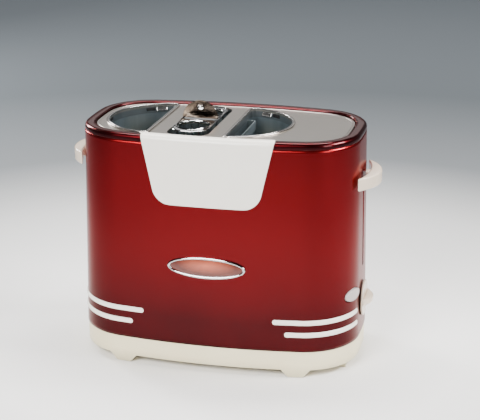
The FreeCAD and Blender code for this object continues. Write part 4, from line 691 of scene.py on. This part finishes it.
def oval_rings(run, z, profile, count=72):
    """Ovals on the shell: each line of the profile gives half sizes and how far the oval stands proud."""
    bearing = np.linspace(0, 2 * np.pi, count, endpoint=False)
    half_run, half_z, proud = (value[:, None] for value in np.array(profile).T)
    height = z + half_z * np.sin(bearing)
    points = wrapped(run + half_run * np.cos(bearing), proud - lean(z) + 0 * height, height)
    return points, grid_faces(len(profile), count, close_columns=True)


# The dished face, its raised border, the side, the flange behind the hole, and the stem.
FLANGE_OUT, FLANGE_BACK, STEM_RADIUS, STEM_END = -0.0036, -0.0048, 0.0020, -0.0132
button_profile = [
    (0, 0, 0.0015), (0.0060, 0.0025, 0.00145), (0.0103, 0.0040, 0.0013), (0.0113, 0.0046, 0.0013),
    (0.0118, 0.0050, 0.0017), (0.0125, 0.0055, 0.0018), (0.0131, 0.0059, 0.0015),
    (BUTTON_HALF_WIDTH, BUTTON_HALF_HEIGHT, 0.0009), (BUTTON_HALF_WIDTH, BUTTON_HALF_HEIGHT, FLANGE_OUT),
    (0.0155, 0.0082, FLANGE_OUT), (0.0155, 0.0082, FLANGE_BACK), (STEM_RADIUS, STEM_RADIUS, FLANGE_BACK),
    (STEM_RADIUS, STEM_RADIUS, STEM_END), (0, 0, STEM_END)]
make("stop_button_cap", *oval_rings(BUTTON_RUN, BUTTON_HEIGHT, button_profile), "button", "button_plastic",
     button_abs, "stop_button", sharp=50)

# Trim strips. Six cream strips of pressed aluminium, painted and stuck on in two lines round the
# lower shell. Each is a low pillow with round ends, proud by one millimetre. The paint's orange peel
# is 1.4 mm wide.

cream_paint, place = patterned_material("cream_painted_aluminium")
cloud = add(cream_paint, "TexNoise", {"Vector": place, "Scale": per_metre(33.3), "Detail": 3.0})
peel = add(cream_paint, "TexNoise", {"Vector": place, "Scale": per_metre(1.43), "Detail": 1.0})
surface(cream_paint, (cloud, "#FAF3E6", "#FEFAF0"), (cloud, 0.16, 0.26),
        {"Normal": add(cream_paint, "Bump", {"Height": peel, "Strength": 0.05, "Distance": 0.0003}),
         "IOR": 1.5})
TRIM_HALF, TRIM_PROUD, TRIM_SINK, TRIM_STEP, TRIM_BEND = 0.00265, 0.0010, 0.0001, 0.003, 13
TRIM_END_Y = -0.0270
TRIM_LINES = {"upper": (0.0588, 0.0665), "lower": (0.0460, 0.0785)}


def pillow_strip(start, end, z):
    """Rings of a round-ended strip, from its middle line to its border, half an oval high."""
    share = np.array([0, 0.3, 0.55, 0.75, 0.87, 0.94, 0.98, 1.0])[:, None]
    steps = int((end - start) / TRIM_STEP)
    line = np.linspace(start + TRIM_HALF, end - TRIM_HALF, steps)
    bend = np.linspace(-np.pi / 2, np.pi / 2, TRIM_BEND + 2)[1:-1]
    middle = np.concatenate([line, np.full(TRIM_BEND, line[-1]), line[::-1], np.full(TRIM_BEND, line[0])])
    bearing = np.concatenate([np.full(steps, -np.pi / 2), bend, np.full(steps, np.pi / 2), bend + np.pi])
    run = middle + TRIM_HALF * share * np.cos(bearing)
    height = z + TRIM_HALF * share * np.sin(bearing)
    proud = -TRIM_SINK + (TRIM_PROUD + TRIM_SINK) * np.sqrt(1 - share**2) - lean(height)
    return wrapped(run, proud, height), grid_faces(len(share), len(middle), close_columns=True)[:, ::-1]


# A strip starts at half the gap in its line on the front or back, and ends beside the dial.
track_run = np.linspace(0, QUARTER, 3000)
track = around(track_run)[0]
end_run = np.interp(TRIM_END_Y, track[:, 1], track_run)
for line_name, (height, half_gap) in TRIM_LINES.items():
    start_run = np.interp(half_gap, track[:, 0], track_run)
    spans = {"left": (2 * QUARTER + start_run, 4 * QUARTER - start_run), "front": (start_run, end_run),
             "rear": (2 * QUARTER - end_run, 2 * QUARTER - start_run)}
    for side, (start, end) in spans.items():
        make(f"{line_name}_trim_{side}_strip", *pillow_strip(start, end, height), "housing",
             "cream_trim", cream_paint, f"{line_name}_trim_{side}", sharp=60)

# Badge plate. A tapered cream plate with round lower corners, pressed from the same sheet as the
# strips, folded over the rim and clipped there. It is left bare.

BADGE_LOW, BADGE_HALF_LOW, BADGE_HALF_TOP, BADGE_CORNER = 0.1738, 0.0515, 0.0670, 0.0140
BADGE_PROUD, BADGE_SHEET, BADGE_EDGE, BADGE_COLUMNS = 0.0016, 0.0015, 0.0005, 61
FOLD_MIDDLE, FOLD_END = 0.0090, 0.0105
badge_round = RIM_ROUND + BADGE_PROUD

# Rows lie closer together at the round lower corners.
rise = BADGE_LOW + (RIM_TOP - RIM_ROUND - BADGE_LOW) * np.linspace(0, 1, 41) ** 1.4
badge_profile = np.concatenate([
    np.stack([BADGE_PROUD - lean(np.minimum(rise, SHELL_TOP)), rise], -1)[:-1],
    quarter_round(-LEAN - RIM_ROUND, RIM_TOP - RIM_ROUND, badge_round, 0),
    [(-FOLD_MIDDLE, RIM_TOP + BADGE_PROUD), (-FOLD_END, RIM_TOP + BADGE_PROUD)]])
badge_proud, badge_z = badge_profile[:, :1], badge_profile[:, 1:]
half = BADGE_HALF_LOW + (BADGE_HALF_TOP - BADGE_HALF_LOW) * (badge_z - BADGE_LOW) / (RIM_TOP - BADGE_LOW)
under = np.clip(BADGE_CORNER - (badge_z - BADGE_LOW), 0, BADGE_CORNER)
half = half - BADGE_CORNER + np.sqrt(BADGE_CORNER**2 - under**2)
badge_x = half * np.sin(np.linspace(-np.pi / 2, np.pi / 2, BADGE_COLUMNS))
badge_run = FRONT_RADIUS * np.arcsin(badge_x / FRONT_RADIUS)
badge = make("badge_plate_sheet", wrapped(badge_run, badge_proud, badge_z),
             grid_faces(len(badge_z), BADGE_COLUMNS)[:, ::-1], "housing", "cream_trim", cream_paint,
             "badge_plate", sharp=60)
sheet = badge.modifiers.new("sheet", "SOLIDIFY")
sheet.thickness, sheet.offset = BADGE_SHEET, -1
rounded = badge.modifiers.new("soft_edges", "BEVEL")
rounded.width, rounded.segments = BADGE_EDGE, 3
rounded.limit_method, rounded.angle_limit = "ANGLE", np.radians(50)

# Oval ornament. A chromed die-cast border round a plaque of orange-red enamel, riveted low on the
# front. The enamel is a little crowned and left plain. A painted highlight makes it paler round a point
# just above its middle, fading over 30 mm to the sides and 9 mm up and down.

ORNAMENT_HEIGHT, HIGHLIGHT_RISE = 0.1113, 0.003
HIGHLIGHT_SCALE_X, HIGHLIGHT_SCALE_Z = per_metre(30.3), per_metre(9.1)
enamel, place = patterned_material("orange_red_enamel")
fired = add(enamel, "TexNoise", {"Vector": place, "Scale": per_metre(11.1), "Detail": 4.0})
# Painted highlight: the enamel is paler round a point just above its middle.
centred = add(enamel, "Mapping", {"Vector": place, "Scale": (HIGHLIGHT_SCALE_X, 0.0, HIGHLIGHT_SCALE_Z),
                                  "Location": (0.0, 0.0, -HIGHLIGHT_SCALE_Z * (ORNAMENT_HEIGHT + HIGHLIGHT_RISE))})
painted_highlight = add(enamel, "TexGradient", {"Vector": centred}, gradient_type="SPHERICAL")
highlight_and_clouds = add(enamel, "MixRGB", {"Fac": 0.25, "Color1": painted_highlight, "Color2": fired})
surface(enamel, (highlight_and_clouds, "#3E0E0D", "#CC6A4E"), (fired, 0.12, 0.24), {"IOR": 1.55})
ORNAMENT_SPOKES = 120
border = [(0.0366, 0.0081, 0.0002), (0.0370, 0.0085, 0.0013), (0.0375, 0.0090, 0.0019),
          (0.0385, 0.0100, 0.0022), (0.0393, 0.0108, 0.0019), (0.0398, 0.0113, 0.0012),
          (0.0400, 0.0115, 0.0), (0.0385, 0.0100, 0.0)]
border_faces = grid_faces(len(border), ORNAMENT_SPOKES, close_rows=True, close_columns=True)
make("ornament_border", oval_rings(0, ORNAMENT_HEIGHT, border, ORNAMENT_SPOKES)[0], border_faces,
     "housing", "cage_chrome", chrome, "ornament_frame", sharp=60)
plaque = [(0, 0, 0.0015), (0.0120, 0.0030, 0.00145), (0.0240, 0.0056, 0.0013), (0.0330, 0.0075, 0.0010),
          (0.0370, 0.0085, 0.0007), (0.0370, 0.0085, 0.0), (0, 0, 0.0)]
make("ornament_plaque", *oval_rings(0, ORNAMENT_HEIGHT, plaque, ORNAMENT_SPOKES), "housing",
     "plaque_enamel", enamel, "ornament_enamel", sharp=60)

# Camera and studio. A long lens looks down on the front, a little from the right, as the photograph
# does. The toaster stands on white paper painted with a pool of light that falls off to grey away from it,
# under six soft panels.

camera = bpy.data.objects.new("camera", bpy.data.cameras.new("camera"))
bpy.context.scene.collection.objects.link(camera)
CAMERA_DOWN, CAMERA_TURN = np.radians(17.864), np.radians(13.434)
camera.location = (0.3330, -1.3324, 0.5883)
camera.rotation_euler = (np.pi / 2 - CAMERA_DOWN, 0, CAMERA_TURN)
camera.data.lens, camera.data.clip_end = 104.548, 60
bpy.context.scene.camera = camera

# Painted light: the paper is painted white near the toaster, as a pool of light, and grey further off.
# Its shades change with the distance from the toaster, in metres.
paper, place = patterned_material("white_studio_paper")
away = add(paper, "VectorMath", {0: place}, output="Value", operation="LENGTH")
near = add(paper, "MapRange", {"Value": away, "From Min": 0.25, "From Max": 0.75})
far = add(paper, "MapRange", {"Value": away, "From Min": 0.5, "From Max": 1.2})
back = add(paper, "MapRange", {"Value": away, "From Min": 1.2, "From Max": 2.4})
fibre = add(paper, "TexNoise", {"Vector": place, "Scale": per_metre(2), "Detail": 2.0})
pale = add(paper, "MixRGB", {"Fac": near, "Color1": "#FAF8F5", "Color2": "#7E8082"})
grey = add(paper, "MixRGB", {"Fac": far, "Color1": pale, "Color2": "#62686C"})
surface(paper, (back, grey, "#99A1A8"), (fibre, 0.75, 0.95), {})
floor_mesh = bpy.data.meshes.new("floor")
FLOOR = 12
floor_mesh.from_pydata([(-FLOOR, -FLOOR, 0), (FLOOR, -FLOOR, 0), (FLOOR, FLOOR, 0), (-FLOOR, FLOOR, 0)], [],
                       [(0, 1, 2, 3)])
floor_mesh.materials.append(paper)
floor = bpy.data.objects.new("floor", floor_mesh)
bpy.context.scene.collection.objects.link(floor)

# Each panel has its place, the point that it faces, its watts, its width and its height.
panels = {"front_panel": ((-0.5, -1.6, 1.2), (0, 0, 0.1), 68, 0.9, 0.9),
          "right_back_panel": ((1.2, 0.05, 1.05), (0.1, 0, 0.2), 34, 0.6, 0.4),
          "right_panel": ((1.5, -0.9, 0.7), (0.1, 0, 0.1), 10, 0.5, 0.8),
          "left_back_panel": ((-1.3, 0.85, 0.75), (0, 0, 0.15), 20, 0.3, 0.6),
          "back_panel": ((-0.5, 2.4, 1.25), (0, 0, 0.24), 3.4, 1.8, 0.8),
          "top_panel": ((-0.1, 0.4, 1.7), (0, 0, 0.1), 36, 1.4, 0.35)}
for name, (position, target, watts, wide, tall) in panels.items():
    lamp = bpy.data.lights.new(name, "AREA")
    lamp.shape, lamp.size, lamp.size_y, lamp.energy = "RECTANGLE", wide, tall, watts
    panel = bpy.data.objects.new(name, lamp)
    panel.location = position
    x, y, z = np.subtract(position, target)
    panel.rotation_euler = (np.arctan2(np.hypot(x, y), z), 0, np.arctan2(x, -y))
    bpy.context.scene.collection.objects.link(panel)

world = bpy.data.worlds.new("studio")
bpy.context.scene.world = world
world.use_nodes = True
world.node_tree.nodes.clear()
direction = add(world, "TexCoord", output="Generated")
upward = add(world, "SeparateXYZ", {"Vector": direction}, output="Z")
overhead = add(world, "MapRange", {"Value": upward, "From Min": 0.0, "From Max": 0.6})
dim_room = add(world, "MixRGB", {"Fac": overhead, "Color1": "#77797C", "Color2": "#26282B"})
add(world, "OutputWorld", {"Surface": add(world, "Background", {"Color": dim_room, "Strength": 0.8})})
